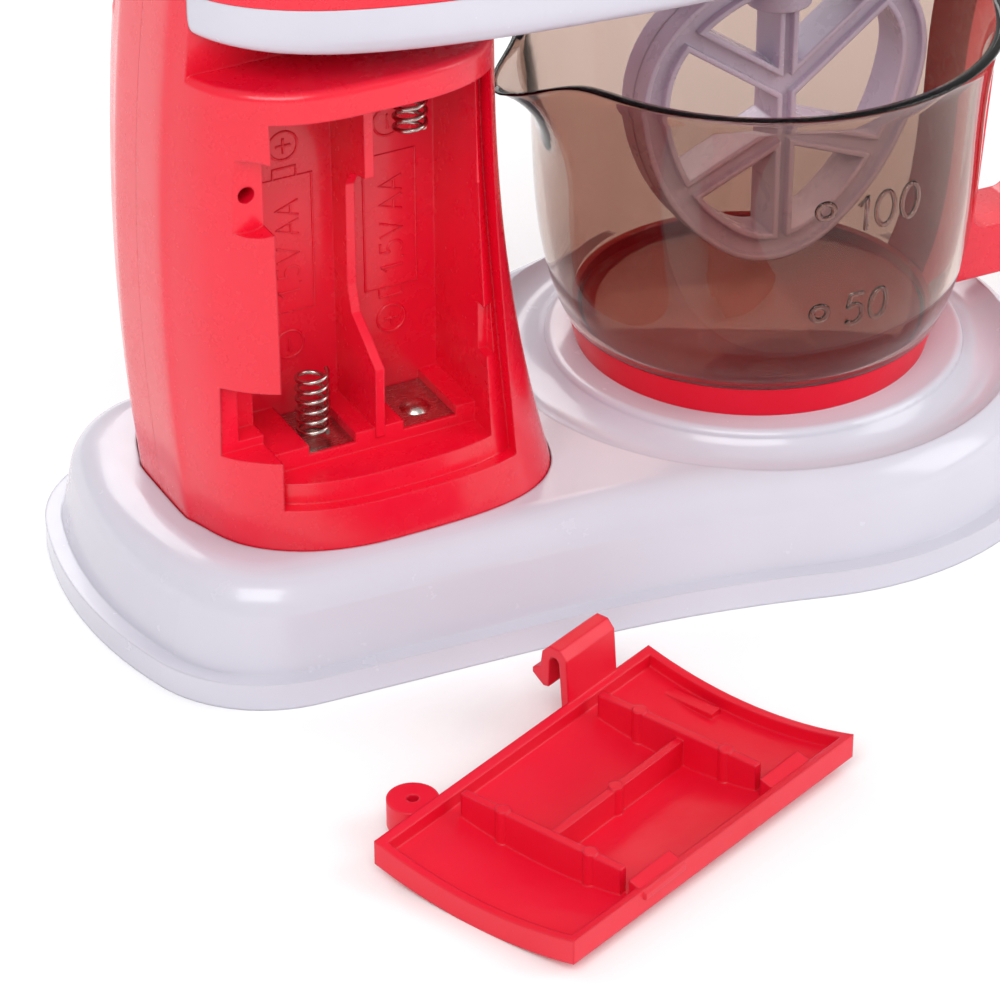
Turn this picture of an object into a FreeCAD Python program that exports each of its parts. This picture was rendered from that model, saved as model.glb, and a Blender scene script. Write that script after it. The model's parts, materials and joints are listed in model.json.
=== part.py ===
"""Toy stand mixer: base, battery column, tilting head with gear drive, flat beater and measuring jug.

Millimetres, +Z up. The origin is the centre of the base's underside, +X runs from the column to the jug.
The battery cover is taken off and lies in front of the column (-Y), inner side up.
"""
import FreeCAD, Part
import math
import os
import re

import Sketcher
from FreeCAD import Placement, Rotation, Vector

doc = FreeCAD.newDocument("ToyMixer")

# ---------------------------------------------------------------- driving dimensions

DIMENSIONS = {
    # base
    "base_length": 170.0,
    "base_height": 19.0,
    "lobe_radius": 50.8,
    "end_radius": 75.0,
    "corner_radius": 22.0,
    "waist_radius": 195.0,
    "tail_station": 53.0,
    "tail_half_width": 38.3,
    "waist_station": 20.0,
    "waist_half_width": 40.8,
    "lip_width": 2.6,
    "lip_height": 4.5,
    "side_draft": 12.0,
    "shoulder_radius": 7.0,
    "base_wall": 2.2,
    "plate_thickness": 2.5,
    "plate_gap": 0.25,
    "seat_radius": 34.0,
    "seat_rise": 1.2,
    "seat_edge_radius": 1.2,
    "moat_width": 9.0,
    "moat_depth": 2.4,
    "pilot_boss_radius": 20.0,
    "pilot_boss_height": 1.2,
    "pilot_gap": 0.3,
    "socket_depth": 2.0,
    "socket_gap": 0.15,
    # self-tapping screws
    "screw_radius": 1.25,
    "screw_head_radius": 2.8,
    "screw_head_height": 1.4,
    "screw_length": 9.0,
    "screw_gap": 0.25,
    "boss_radius": 3.5,
    # column
    "column_centre": 45.3,
    "column_half_depth": 25.0,
    "column_half_width": 26.8,
    "column_squareness": 3.3,
    "rear_squareness": 2.65,
    "rear_bulge": 2.2,
    "front_flare": 9.8,
    "side_flare": 1.8,
    "flare_power": 2.2,
    "shelf_cover": 4.8,
    "shelf_edge_radius": 1.2,
    "column_wall": 2.2,
    "neck_half_width": 12.5,
    "hinge_offset": 10.0,
    "hinge_rise": 16.0,
    "knuckle_radius": 13.2,
    "pin_radius": 2.5,
    "pin_head_radius": 4.0,
    "running_gap": 0.05,
    # battery bay
    "cell_radius": 7.25,
    "cell_spacing": 17.0,
    "contact_distance": 57.0,
    "cell_centre": 42.9,
    "cell_depth": 14.0,
    "cell_gap": 0.35,
    "bay_left": 61.2,
    "bay_right": 26.8,
    "plate_rise": 12.2,
    "contact_bed": 1.7,
    "bay_wall": 2.0,
    "divider_thickness": 1.5,
    "contact_thickness": 0.4,
    "nib_height": 0.6,
    "seat_step": 2.0,
    "cover_lap": 0.2,
    "sill_height": 5.2,
    "cover_top_width": 36.1,
    "cover_bottom_width": 37.9,
    "cover_gap": 0.3,
    "ear_drop": 11.7,
    "ear_reach": 2.6,
    "ear_radius": 3.8,
    "ear_hole_radius": 1.3,
    "hook_rise": 14.2,
    "hook_width": 12.0,
    "hook_reach": 7.0,
    "spring_radius": 2.7,
    "wire_radius": 0.35,
    "spring_pitch": 1.75,
    "spring_height": 10.5,
    # battery cover
    "cover_radius": 72.0,
    "cover_thickness": 1.8,
    "cover_rim": 2.0,
    "rib_station": 15.7,
    "rib_thickness": 1.3,
    "cover_centre_x": 38.3,
    "cover_centre_y": 84.0,
    "cover_turn": 67.1,
    # head
    "head_nose": 78.0,
    "head_rear": 69.5,
    "head_widest": 10.0,
    "head_half_width": 38.4,
    "head_taper": 5.5,
    "head_lift": 12.0,
    "head_rise": 47.0,
    "head_rear_drop": 10.0,
    "head_sink": 8.0,
    "tray_squareness": 6.0,
    "head_wall": 2.0,
    "seam_rise": 1.0,
    "slot_gap": 0.4,
    "cheek_thickness": 3.0,
    "cheek_radius": 7.5,
    "dial_station": 22.0,
    "dial_rise": 22.0,
    "dial_depth": 29.5,
    "dial_radius": 9.0,
    "dial_thickness": 6.0,
    # gear drive
    "beater_offset": 2.6,
    "gear_module": 0.6,
    "small_teeth": 14.0,
    "large_teeth": 42.0,
    "gear_width": 4.0,
    "gear_rise": 7.0,
    "gear_backlash": 0.12,
    "gearbox_half_width": 18.2,
    "frame_thickness": 1.6,
    "spindle_radius": 3.0,
    "axle_radius": 1.2,
    "motor_radius": 10.0,
    "motor_half_flat": 7.6,
    "motor_height": 19.0,
    # beater
    "beater_drop": 72.2,
    "beater_keel_radius": 17.0,
    "beater_keel_turn": 35.0,
    "beater_side_radius": 38.0,
    "beater_side_turn": 82.5,
    "beater_shoulder_radius": 17.6,
    "beater_shoulder_turn": 142.0,
    "beater_thickness": 7.0,
    "beater_band": 4.6,
    "channel_rim": 0.9,
    "channel_depth": 1.2,
    "hub_radius": 5.2,
    "hub_length": 18.0,
    # jug
    "jug_offset": 0.7,
    "jug_floor_rise": 4.0,
    "jug_rim_rise": 56.0,
    "jug_wall": 1.5,
    "jug_foot_radius": 30.4,
    "jug_low_radius": 32.2,
    "jug_low_rise": 9.8,
    "jug_waist_radius": 35.2,
    "jug_waist_rise": 27.8,
    "jug_rim_radius": 37.9,
    "ring_height": 5.4,
    "ring_radius": 30.0,
    "ring_taper": 1.4,
    "ring_wall": 1.4,
    "spout_reach": 45.5,
    "spout_radius": 9.0,
    "spout_dip": 3.5,
    "jug_turn": 2.0,
    "handle_width": 12.0,
    "handle_reach": 62.0,
    "handle_foot_rise": 2.4,
    "handle_top_rise": 53.3,
    "grip_thickness": 8.5,
    "strap_thickness": 4.0,
    "fit_gap": 0.1,
}

# heights that follow from the sizes above, each from what it stands on or hangs from
HEIGHTS = {
    "seat_height": "base_height + seat_rise",
    "plate_level": "base_height + plate_rise",
    "bay_floor": "plate_level - contact_bed",
    "bay_roof": "plate_level + contact_distance + nib_height + contact_thickness",
    "shelf_height": "bay_roof + shelf_cover",
    "cover_top": "bay_roof + cover_lap",
    "cover_bottom": "plate_level - sill_height",
    "ear_height": "cover_top - ear_drop",
    "hook_height": "cover_bottom + hook_rise",
    "hinge_height": "shelf_height + hinge_rise",
    "head_middle": "shelf_height + head_lift",
    "seam_height": "head_middle + seam_rise",
    "dial_height": "head_middle + dial_rise",
    "gear_level": "head_middle + gear_rise",
    "beater_bottom": "head_middle - beater_drop",
    "jug_floor_level": "seat_height + jug_floor_rise",
    "jug_rim_level": "seat_height + jug_rim_rise",
    "jug_low_level": "seat_height + jug_low_rise",
    "jug_waist_level": "seat_height + jug_waist_rise",
    "ring_top_level": "seat_height + ring_height",
    "handle_bottom": "seat_height + handle_foot_rise",
    "handle_top": "seat_height + handle_top_rise",
}

sheet = doc.addObject("Spreadsheet::Sheet", "Sizes")
cells = {**DIMENSIONS, **{alias: f"={text}" for alias, text in HEIGHTS.items()}}
for row, (alias, content) in enumerate(cells.items(), start=1):
    sheet.set(f"A{row}", alias)
    sheet.set(f"B{row}", str(content))
    sheet.setAlias(f"B{row}", alias)
doc.recompute()


def scoped(text):
    """Expression text with the sheet's name before each of its aliases."""
    return re.sub(r"\b([a-z]+(?:_[a-z]+)+)\b", r"Sizes.\1", str(text))


def bind(obj, prop, text):
    obj.setExpression(prop, scoped(text))


def number(text):
    """Value of an expression over the sheet's cells."""
    return float(sheet.evalExpression(scoped(text)))


# ---------------------------------------------------------------- places worked out from the sizes

SEAT_X = "(base_length / 2 - lobe_radius)"
JUG_X = f"({SEAT_X} - jug_offset)"
BEATER_X = f"({SEAT_X} + beater_offset)"
CELL_LEFT = "(-cell_centre - cell_spacing / 2)"
CELL_RIGHT = "(-cell_centre + cell_spacing / 2)"
BAY_BACK = "(-cell_depth + cell_radius + cell_gap)"
SOCKET_FLOOR = "(base_height - socket_depth)"
HINGE_X = "(-column_centre - hinge_offset)"
COVER_LENGTH = "(cover_top - cover_bottom - 2 * cover_gap)"
EAR_X = "(-bay_left - ear_reach)"
GEAR_CENTRES = "(gear_module * (small_teeth + large_teeth) / 2)"
IDLER_X = f"({BEATER_X} - {GEAR_CENTRES})"
MOTOR_X = f"({IDLER_X} - {GEAR_CENTRES})"
UPPER_GEAR_LEVEL = "(gear_level + gear_width + 1)"
GEARBOX_FLOOR = "(gear_level - 2)"
GEARBOX_ROOF = f"({UPPER_GEAR_LEVEL} + gear_width + 1.5)"
JUG_FOOT = "(seat_height + pilot_boss_height + pilot_gap + ring_wall)"
SPIGOT_RADIUS = "(ring_radius - ring_wall - fit_gap)"
DIAL_FACE = "(-dial_depth)"
HUB_TOP = "(head_middle - head_sink - 2.5)"
HUB_LOW = f"({HUB_TOP} - hub_length)"
SLOT_TOP = "(hinge_height + 0.6 * knuckle_radius)"
SPINDLE_LOW = f"({HUB_LOW} + 5)"

# ---------------------------------------------------------------- helpers

PIECES = []


def piece(obj, label):
    """Registers obj as the sub-part named label."""
    obj.Label = label
    PIECES.append(obj)
    return obj


TURNS = {
    "y": Rotation(Vector(1, 0, 0), -90),
    "z": Rotation(),
}


def cylinder(name, radius, height, x="0", y="0", z="0", axis="z"):
    """Cylinder that starts at x, y, z and runs along +axis."""
    obj = doc.addObject("Part::Cylinder", name)
    bind(obj, "Radius", radius)
    bind(obj, "Height", height)
    obj.Placement = Placement(Vector(), TURNS[axis])
    for side, place in zip("xyz", (x, y, z)):
        bind(obj, f"Placement.Base.{side}", place)
    return obj


def box(name, xs, ys, zs):
    """Box between two x, two y and two z places."""
    obj = doc.addObject("Part::Box", name)
    for prop, side, (low, high) in zip(("Length", "Width", "Height"), "xyz", (xs, ys, zs)):
        bind(obj, prop, f"({high}) - ({low})")
        bind(obj, f"Placement.Base.{side}", low)
    return obj


def join(name, *parts):
    obj = doc.addObject("Part::MultiFuse", name)
    obj.Shapes = list(parts)
    return obj


def cut(name, body, *tools):
    """Body with every tool taken away."""
    obj = doc.addObject("Part::Cut", name)
    obj.Base = body
    obj.Tool = tools[0] if len(tools) == 1 else join(name + "_tools", *tools)
    return obj


def carve(name, outside, space, keep, *tools):
    """Outside without its inner space and the tools; what keep holds stays solid within that space."""
    return cut(name, outside, cut(name + "_space", space, *keep), *tools)


def common(name, first, second):
    obj = doc.addObject("Part::MultiCommon", name)
    obj.Shapes = [first, second]
    return obj


def group(name, parts):
    """Several separate solids in one node."""
    obj = doc.addObject("Part::Compound", name)
    obj.Links = list(parts)
    return obj


def form(name, shape):
    """Free form whose shape is computed from the sheet's sizes."""
    obj = doc.addObject("Part::Feature", name)
    obj.Shape = shape
    return obj


def screw(name, x, y, z, axis="z", flip=False):
    """Pan-head screw: the head's underside is at x, y, z.

    The shank runs along +axis, or -axis when flipped.
    """
    at = dict(x=x, y=y, z=z)
    head_at = dict(at)
    shank_at = dict(at)
    if flip:
        shank_at[axis] = f"({at[axis]}) - screw_length"
    else:
        head_at[axis] = f"({at[axis]}) - screw_head_height"
    shank = cylinder(name + "_shank", "screw_radius", "screw_length", axis=axis, **shank_at)
    head = cylinder(name + "_head", "screw_head_radius", "screw_head_height", axis=axis, **head_at)
    return join(name, head, shank)


def prism(points, depth, plane="xy", level=0.0):
    """Solid from a straight-sided outline.

    Plane xy rises from z = level, xz runs from y = level along +Y, yz runs from x = level along +X.
    """
    places = {
        "xy": lambda u, v: Vector(u, v, level),
        "xz": lambda u, v: Vector(u, level, v),
        "yz": lambda u, v: Vector(level, u, v),
    }[plane]
    run = {"xy": Vector(0, 0, depth), "xz": Vector(0, depth, 0), "yz": Vector(depth, 0, 0)}[plane]
    corners = [places(u, v) for u, v in points]
    return Part.Face(Part.makePolygon(corners + corners[:1])).extrude(run)


def oval_points(half_u, low_v, high_v, power_low, power_high, angles):
    """Points (u, v) of superellipse quarters at the given angles; v runs from -low_v to high_v."""
    points = []
    for angle in angles:
        c, s = math.cos(angle), math.sin(angle)
        power = power_high if s >= 0 else power_low
        rise = high_v if s >= 0 else low_v
        u = half_u * math.copysign(abs(c) ** (2 / power), c)
        points.append((u, rise * math.copysign(abs(s) ** (2 / power), s)))
    return points


def closed_curve(points):
    curve = Part.BSplineCurve()
    curve.interpolate(points, PeriodicFlag=True)
    return Part.Wire(curve.toShape())


def half_curve(points, tangent):
    """Curve that leaves and meets the middle plane square to it, closed by a straight line."""
    curve = Part.BSplineCurve()
    curve.interpolate(Points=points, InitialTangent=tangent, FinalTangent=-tangent)
    return Part.Wire([curve.toShape(), Part.makeLine(points[-1], points[0])])


OVAL_STEPS = 24


# ---------------------------------------------------------------- base

def plane_of(body, role):
    return [plane for plane in body.Origin.OriginFeatures if plane.Role == role][0]


def base_centres():
    """Centres of the arcs of the base's outline, upper half; an inset outline keeps them."""
    end = Vector(number("end_radius - base_length / 2"), 0)
    lobe = Vector(number(SEAT_X), 0)
    tail = Vector(-number("tail_station"), number("tail_half_width"))
    waist = Vector(-number("waist_station"), number("waist_half_width"))
    along = (waist - tail).normalize()
    out = Vector(-along.y, along.x)
    corner_radius = number("corner_radius")
    waist_radius = number("waist_radius")
    inner = tail - out * corner_radius
    reach = number("end_radius - corner_radius")
    offset = (inner - end).dot(along)
    side = (inner - end - along * offset).Length
    corner = inner - along * (offset + math.sqrt(reach ** 2 - side ** 2))
    outer = tail + out * waist_radius
    reach = waist_radius + number("lobe_radius")
    offset = (lobe - outer).dot(along)
    side = (lobe - outer - along * offset).Length
    hollow = outer + along * (offset - math.sqrt(reach ** 2 - side ** 2))
    return end, corner, hollow, lobe, out


def base_sketch(body, name, inset, level="0"):
    """Outline of the base, drawn inset from its edge, on a plane at the given level."""
    sketch = body.newObject("Sketcher::SketchObject", name)
    sketch.AttachmentSupport = (plane_of(body, "XY_Plane"), "")
    sketch.MapMode = "FlatFace"
    bind(sketch, "AttachmentOffset.Base.z", level)
    end, corner, hollow, lobe, out = base_centres()
    step = number(inset)
    radii = {
        "end": number("end_radius") - step,
        "corner": number("corner_radius") - step,
        "hollow": number("waist_radius") + step,
        "lobe": number("lobe_radius") - step,
    }
    p_end = end + (corner - end).normalize() * radii["end"]
    p_corner = corner + out * radii["corner"]
    p_waist = hollow - out * radii["hollow"]
    p_lobe = lobe + (hollow - lobe).normalize() * radii["lobe"]

    def low(point):
        return Vector(point.x, -point.y)

    def arc(centre, radius, first, last):
        angles = [math.atan2(p.y - centre.y, p.x - centre.x) for p in (first, last)]
        if angles[1] < angles[0]:
            angles[1] += 2 * math.pi
        return Part.ArcOfCircle(Part.Circle(centre, Vector(0, 0, 1), radius), *angles)

    # counter-clockwise from the lobe; each entry is the curve, its entry point and its exit point
    loop = [
        (arc(lobe, radii["lobe"], low(p_lobe), p_lobe), 1, 2, "lobe_radius", "-"),
        (arc(hollow, radii["hollow"], p_waist, p_lobe), 2, 1, "waist_radius", "+"),
        (Part.LineSegment(p_waist, p_corner), 1, 2, None, None),
        (arc(corner, radii["corner"], p_corner, p_end), 1, 2, "corner_radius", "-"),
        (arc(end, radii["end"], p_end, low(p_end)), 1, 2, "end_radius", "-"),
        (arc(low(corner), radii["corner"], low(p_end), low(p_corner)), 1, 2, "corner_radius", "-"),
        (Part.LineSegment(low(p_corner), low(p_waist)), 1, 2, None, None),
        (arc(low(hollow), radii["hollow"], low(p_lobe), low(p_waist)), 2, 1, "waist_radius", "+"),
    ]
    for curve, *_ in loop:
        sketch.addGeometry(curve)
    count = len(loop)
    for index in range(count):
        following = (index + 1) % count
        sketch.addConstraint(Sketcher.Constraint("Tangent", index, loop[index][2], following,
                                                 loop[following][1]))
    for index, (curve, _, _, radius, sign) in enumerate(loop):
        if radius:
            sketch.addConstraint(Sketcher.Constraint("Radius", index, curve.Radius))
            sketch.renameConstraint(sketch.ConstraintCount - 1, f"radius{index}")
            bind(sketch, f"Constraints.radius{index}", f"{radius} {sign} ({inset})")
    for index, centre, place in ((0, lobe, SEAT_X), (4, end, "end_radius - base_length / 2")):
        sketch.addConstraint(Sketcher.Constraint("PointOnObject", index, 3, -1))
        sketch.addConstraint(Sketcher.Constraint("DistanceX", -1, 1, index, 3, centre.x))
        sketch.renameConstraint(sketch.ConstraintCount - 1, f"centre{index}")
        bind(sketch, f"Constraints.centre{index}", place)
    # two construction points hold each straight side
    run = "(tail_station - waist_station)"
    rise = "(waist_half_width - tail_half_width)"
    slant = f"sqrt({run} ^ 2 + {rise} ^ 2)"
    for sign in (1, -1):
        line = 2 if sign > 0 else 6
        for mark, station, width in (("tail", "tail_station", "tail_half_width"),
                                     ("waist", "waist_station", "waist_half_width")):
            across = f"-{station} + ({inset}) * {rise} / {slant}"
            up = f"{sign} * ({width} - ({inset}) * {run} / {slant})"
            point = sketch.addGeometry(Part.Point(Vector(number(across), number(up))), True)
            sketch.addConstraint(Sketcher.Constraint("PointOnObject", point, 1, line))
            for kind, text in (("DistanceX", across), ("DistanceY", up)):
                sketch.addConstraint(Sketcher.Constraint(kind, -1, 1, point, 1, number(text)))
                key = f"{mark}{kind[-1]}{line}"
                sketch.renameConstraint(sketch.ConstraintCount - 1, key)
                bind(sketch, f"Constraints.{key}", text)
    return sketch


def pad(body, name, sketch, length, taper=None):
    feature = body.newObject("PartDesign::Pad", name)
    feature.Profile = sketch
    bind(feature, "Length", length)
    if taper:
        bind(feature, "TaperAngle", taper)
    doc.recompute()
    return feature


def top_edges(shape, level):
    """Names of the edges that lie wholly at the given level."""
    return [f"Edge{index}" for index, edge in enumerate(shape.Edges, start=1)
            if abs(edge.BoundBox.ZMin - level) < 1e-4 and abs(edge.BoundBox.ZMax - level) < 1e-4]


def base_hull(name, inset, lip, top, radius):
    """Drafted body with a rounded shoulder; lip is the height of its upright foot."""
    body = doc.addObject("PartDesign::Body", name)
    if lip:
        pad(body, name + "_foot", base_sketch(body, name + "_foot_outline", "0"), lip)
    start = lip or "0"
    side = base_sketch(body, name + "_side_outline", inset, start)
    wall = pad(body, name + "_side", side, f"({top}) - ({start})", "-side_draft")
    shoulder = body.newObject("PartDesign::Fillet", name + "_shoulder")
    shoulder.Base = (wall, top_edges(wall.Shape, number(top)))
    bind(shoulder, "Radius", radius)
    doc.recompute()
    return body


CAVITY_INSET = "(lip_width + base_wall - lip_height * tan(side_draft * 1 deg))"
PLATE_SCREWS = [("-(base_length / 2 - 9)", "0")] + [
    (x, f"{sign} * {y}") for x, y in (("3", "31.5"), (f"({SEAT_X} + 29)", "24")) for sign in (-1, 1)]
FOOT_SCREWS = [(f"(-column_centre + {dx})", f"{sign} * 17") for dx in (-14, 16) for sign in (-1, 1)]


def make_base():
    hull = base_hull("base_hull", "lip_width", "lip_height", "base_height", "shoulder_radius")
    cavity = base_hull("base_cavity", CAVITY_INSET, None, "(base_height - base_wall)",
                       "(shoulder_radius - base_wall)")
    under_seat = cylinder("under_seat", "seat_radius + moat_width + 2", "base_height", SEAT_X, "0",
                          "base_height - base_wall - moat_depth")
    foot = number(SOCKET_FLOOR)
    under_column = column_pocket("under_column", foot - number("base_wall"), number("base_height"),
                                 -number("base_wall"))
    hollow = cut("base_hollow", cavity, under_seat, under_column)
    seat = cylinder("seat_disc", "seat_radius", "seat_height - 10", SEAT_X, "0", "10")
    rounded = doc.addObject("Part::Fillet", "seat_rounded")
    doc.recompute()
    rounded.Base = seat
    rounded.Edges = [(int(name[4:]), number("seat_edge_radius"), number("seat_edge_radius"))
                     for name in top_edges(seat.Shape, number("seat_height"))]
    pilot = cylinder("seat_pilot", "pilot_boss_radius", "pilot_boss_height + 1", SEAT_X, "0",
                     "seat_height - 1")
    moat = doc.addObject("Part::Torus", "moat_round")
    bind(moat, "Radius1", "seat_radius + moat_width / 2")
    bind(moat, "Radius2", "(moat_width ^ 2 / 4 + moat_depth ^ 2) / (2 * moat_depth)")
    bind(moat, "Placement.Base.x", SEAT_X)
    bind(moat, "Placement.Base.z",
         "base_height - moat_depth + (moat_width ^ 2 / 4 + moat_depth ^ 2) / (2 * moat_depth)")
    keep = cylinder("moat_keep", "seat_radius", "4 * base_height", SEAT_X, "0", "0")
    moat_cut = cut("moat_cut", moat, keep)
    socket = column_pocket("column_socket", foot, number("base_height") + 1, -number("socket_gap"))
    wire_way = cylinder("wire_way", "6", "2 * base_height", "-column_centre", "0", "0")
    bosses = [cylinder(f"plate_boss_{i}", "boss_radius", "base_height - plate_thickness - 2 * base_wall", x,
                       y,
                       "plate_thickness") for i, (x, y) in enumerate(PLATE_SCREWS)]
    pilots = [cylinder(f"plate_pilot_{i}", "screw_radius", "screw_length", x, y, "plate_thickness")
              for i, (x, y) in enumerate(PLATE_SCREWS)]
    holes = [cylinder(f"foot_hole_{i}", "screw_radius + screw_gap", "base_height", x, y, "plate_thickness")
             for i, (x, y) in enumerate(FOOT_SCREWS)]
    carved = cut("base_carved", join("base_filled", cut("base_open", hull, hollow, moat_cut), rounded, pilot,
                                     *bosses),
                 socket, wire_way, *pilots, *holes)
    piece(carved, "base_shell")

    body = doc.addObject("PartDesign::Body", "plate_body")
    pad(body, "plate_pad", base_sketch(body, "plate_outline", f"({CAVITY_INSET} + plate_gap)"),
        "plate_thickness",
        "-side_draft")
    sinks = [cylinder(f"plate_sink_{i}", "screw_head_radius + screw_gap", "screw_head_height + 0.2", x, y,
                      "0")
             for i, (x, y) in enumerate(PLATE_SCREWS)]
    ways = [cylinder(f"plate_way_{i}", "screw_radius + screw_gap", "plate_thickness", x, y, "0")
            for i, (x, y) in enumerate(PLATE_SCREWS)]
    piece(cut("plate_drilled", body, *sinks, *ways), "base_plate")
    piece(group("plate_screw_set", [screw(f"plate_screw_{i}", x, y, "screw_head_height + 0.2")
                                    for i, (x, y) in enumerate(PLATE_SCREWS)]), "base_screws")
    piece(group("foot_screw_set", [screw(f"foot_screw_{i}", x, y, f"{SOCKET_FLOOR} - base_wall")
                                   for i, (x, y) in enumerate(FOOT_SCREWS)]), "column_foot_screws")


# ---------------------------------------------------------------- column

def column_oval(level, inset, side):
    """Cross-section at one level of the column's near (-1) or far (+1) half."""
    foot = number(SOCKET_FLOOR)
    top = number("shelf_height")
    down = (top - level) / (top - foot)
    flare = max(0.0, down) ** number("flare_power")
    half_way = (2 * down - 1) ** 2
    rear = -number("column_centre + column_half_depth") - number("rear_bulge") * (1 - half_way)
    front = -number("column_centre - column_half_depth") + number("front_flare") * flare
    width = number("column_half_width") + number("side_flare") * flare - inset
    centre = (rear + front) / 2
    half_depth = (front - rear) / 2 - inset
    angles = [math.pi * step / (OVAL_STEPS / 2) for step in range(OVAL_STEPS // 2 + 1)]
    front_power, rear_power = number("column_squareness"), number("rear_squareness")
    points = []
    for angle in angles:
        power = front_power if math.cos(angle) > 0 else rear_power
        points += [Vector(centre + u, side * v, level)
                   for u, v in oval_points(half_depth, width, width, power, power, [angle])]
    return half_curve(points, Vector(0, side, 0))


def column_form(low, high, inset, side):
    """One half of the column's tapered oval between two levels."""
    count = max(2, int((high - low) / 12) + 2)
    levels = [low + (high - low) * step / (count - 1) for step in range(count)]
    return Part.makeLoft([column_oval(level, inset, side) for level in levels], True, False)


def column_pocket(name, low, high, inset):
    """Both halves of the column's form, as a tool."""
    return join(name, form(name + "_near", column_form(low, high, inset, -1)),
                form(name + "_far", column_form(low, high, inset, 1)))


def column_half(side, inset=0.0):
    """Form of one half of the column: the trunk up to the shelf, with the neck rising from its rear."""
    foot = number(SOCKET_FLOOR) + inset
    top = number("shelf_height") - inset
    hinge = number("hinge_height")
    radius = number("knuckle_radius") - inset
    width = number("neck_half_width") - inset
    reach = number("base_length")
    grown = column_form(foot, hinge + radius + 1, inset, side)
    trunk = Part.makeBox(2 * reach, 2 * reach, top, Vector(-reach, -reach, 0))
    neck = Part.makeBox(reach, 2 * width, hinge - top + 1, Vector(number(HINGE_X) + radius - reach, -width,
                                                                  top - 1))
    knuckle = Part.makeCylinder(radius, 2 * width, Vector(number(HINGE_X), -width, hinge), Vector(0, 1, 0))
    return grown.common(trunk.fuse([neck, knuckle])).Solids[0]


def column_outside(side):
    """Outer form of one half of the column, with the shelf's edge rounded."""
    solid = column_half(side)
    top = number("shelf_height")
    rims = [edge for edge in solid.Edges
            if abs(edge.BoundBox.ZMin - top) < 1e-3 and abs(edge.BoundBox.ZMax - top) < 1e-3]
    return solid.makeFillet(number("shelf_edge_radius"), [max(rims, key=lambda edge: edge.Length)]).Solids[0]


WELL_FLOOR = "(screw_length / 2 + 1)"
COLUMN_SCREWS = [(f"(-cell_centre + {dx})", z) for dx in (-9, 9) for z in ("(plate_level + 9)",
                                                                           "(bay_roof - 11)")]


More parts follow.
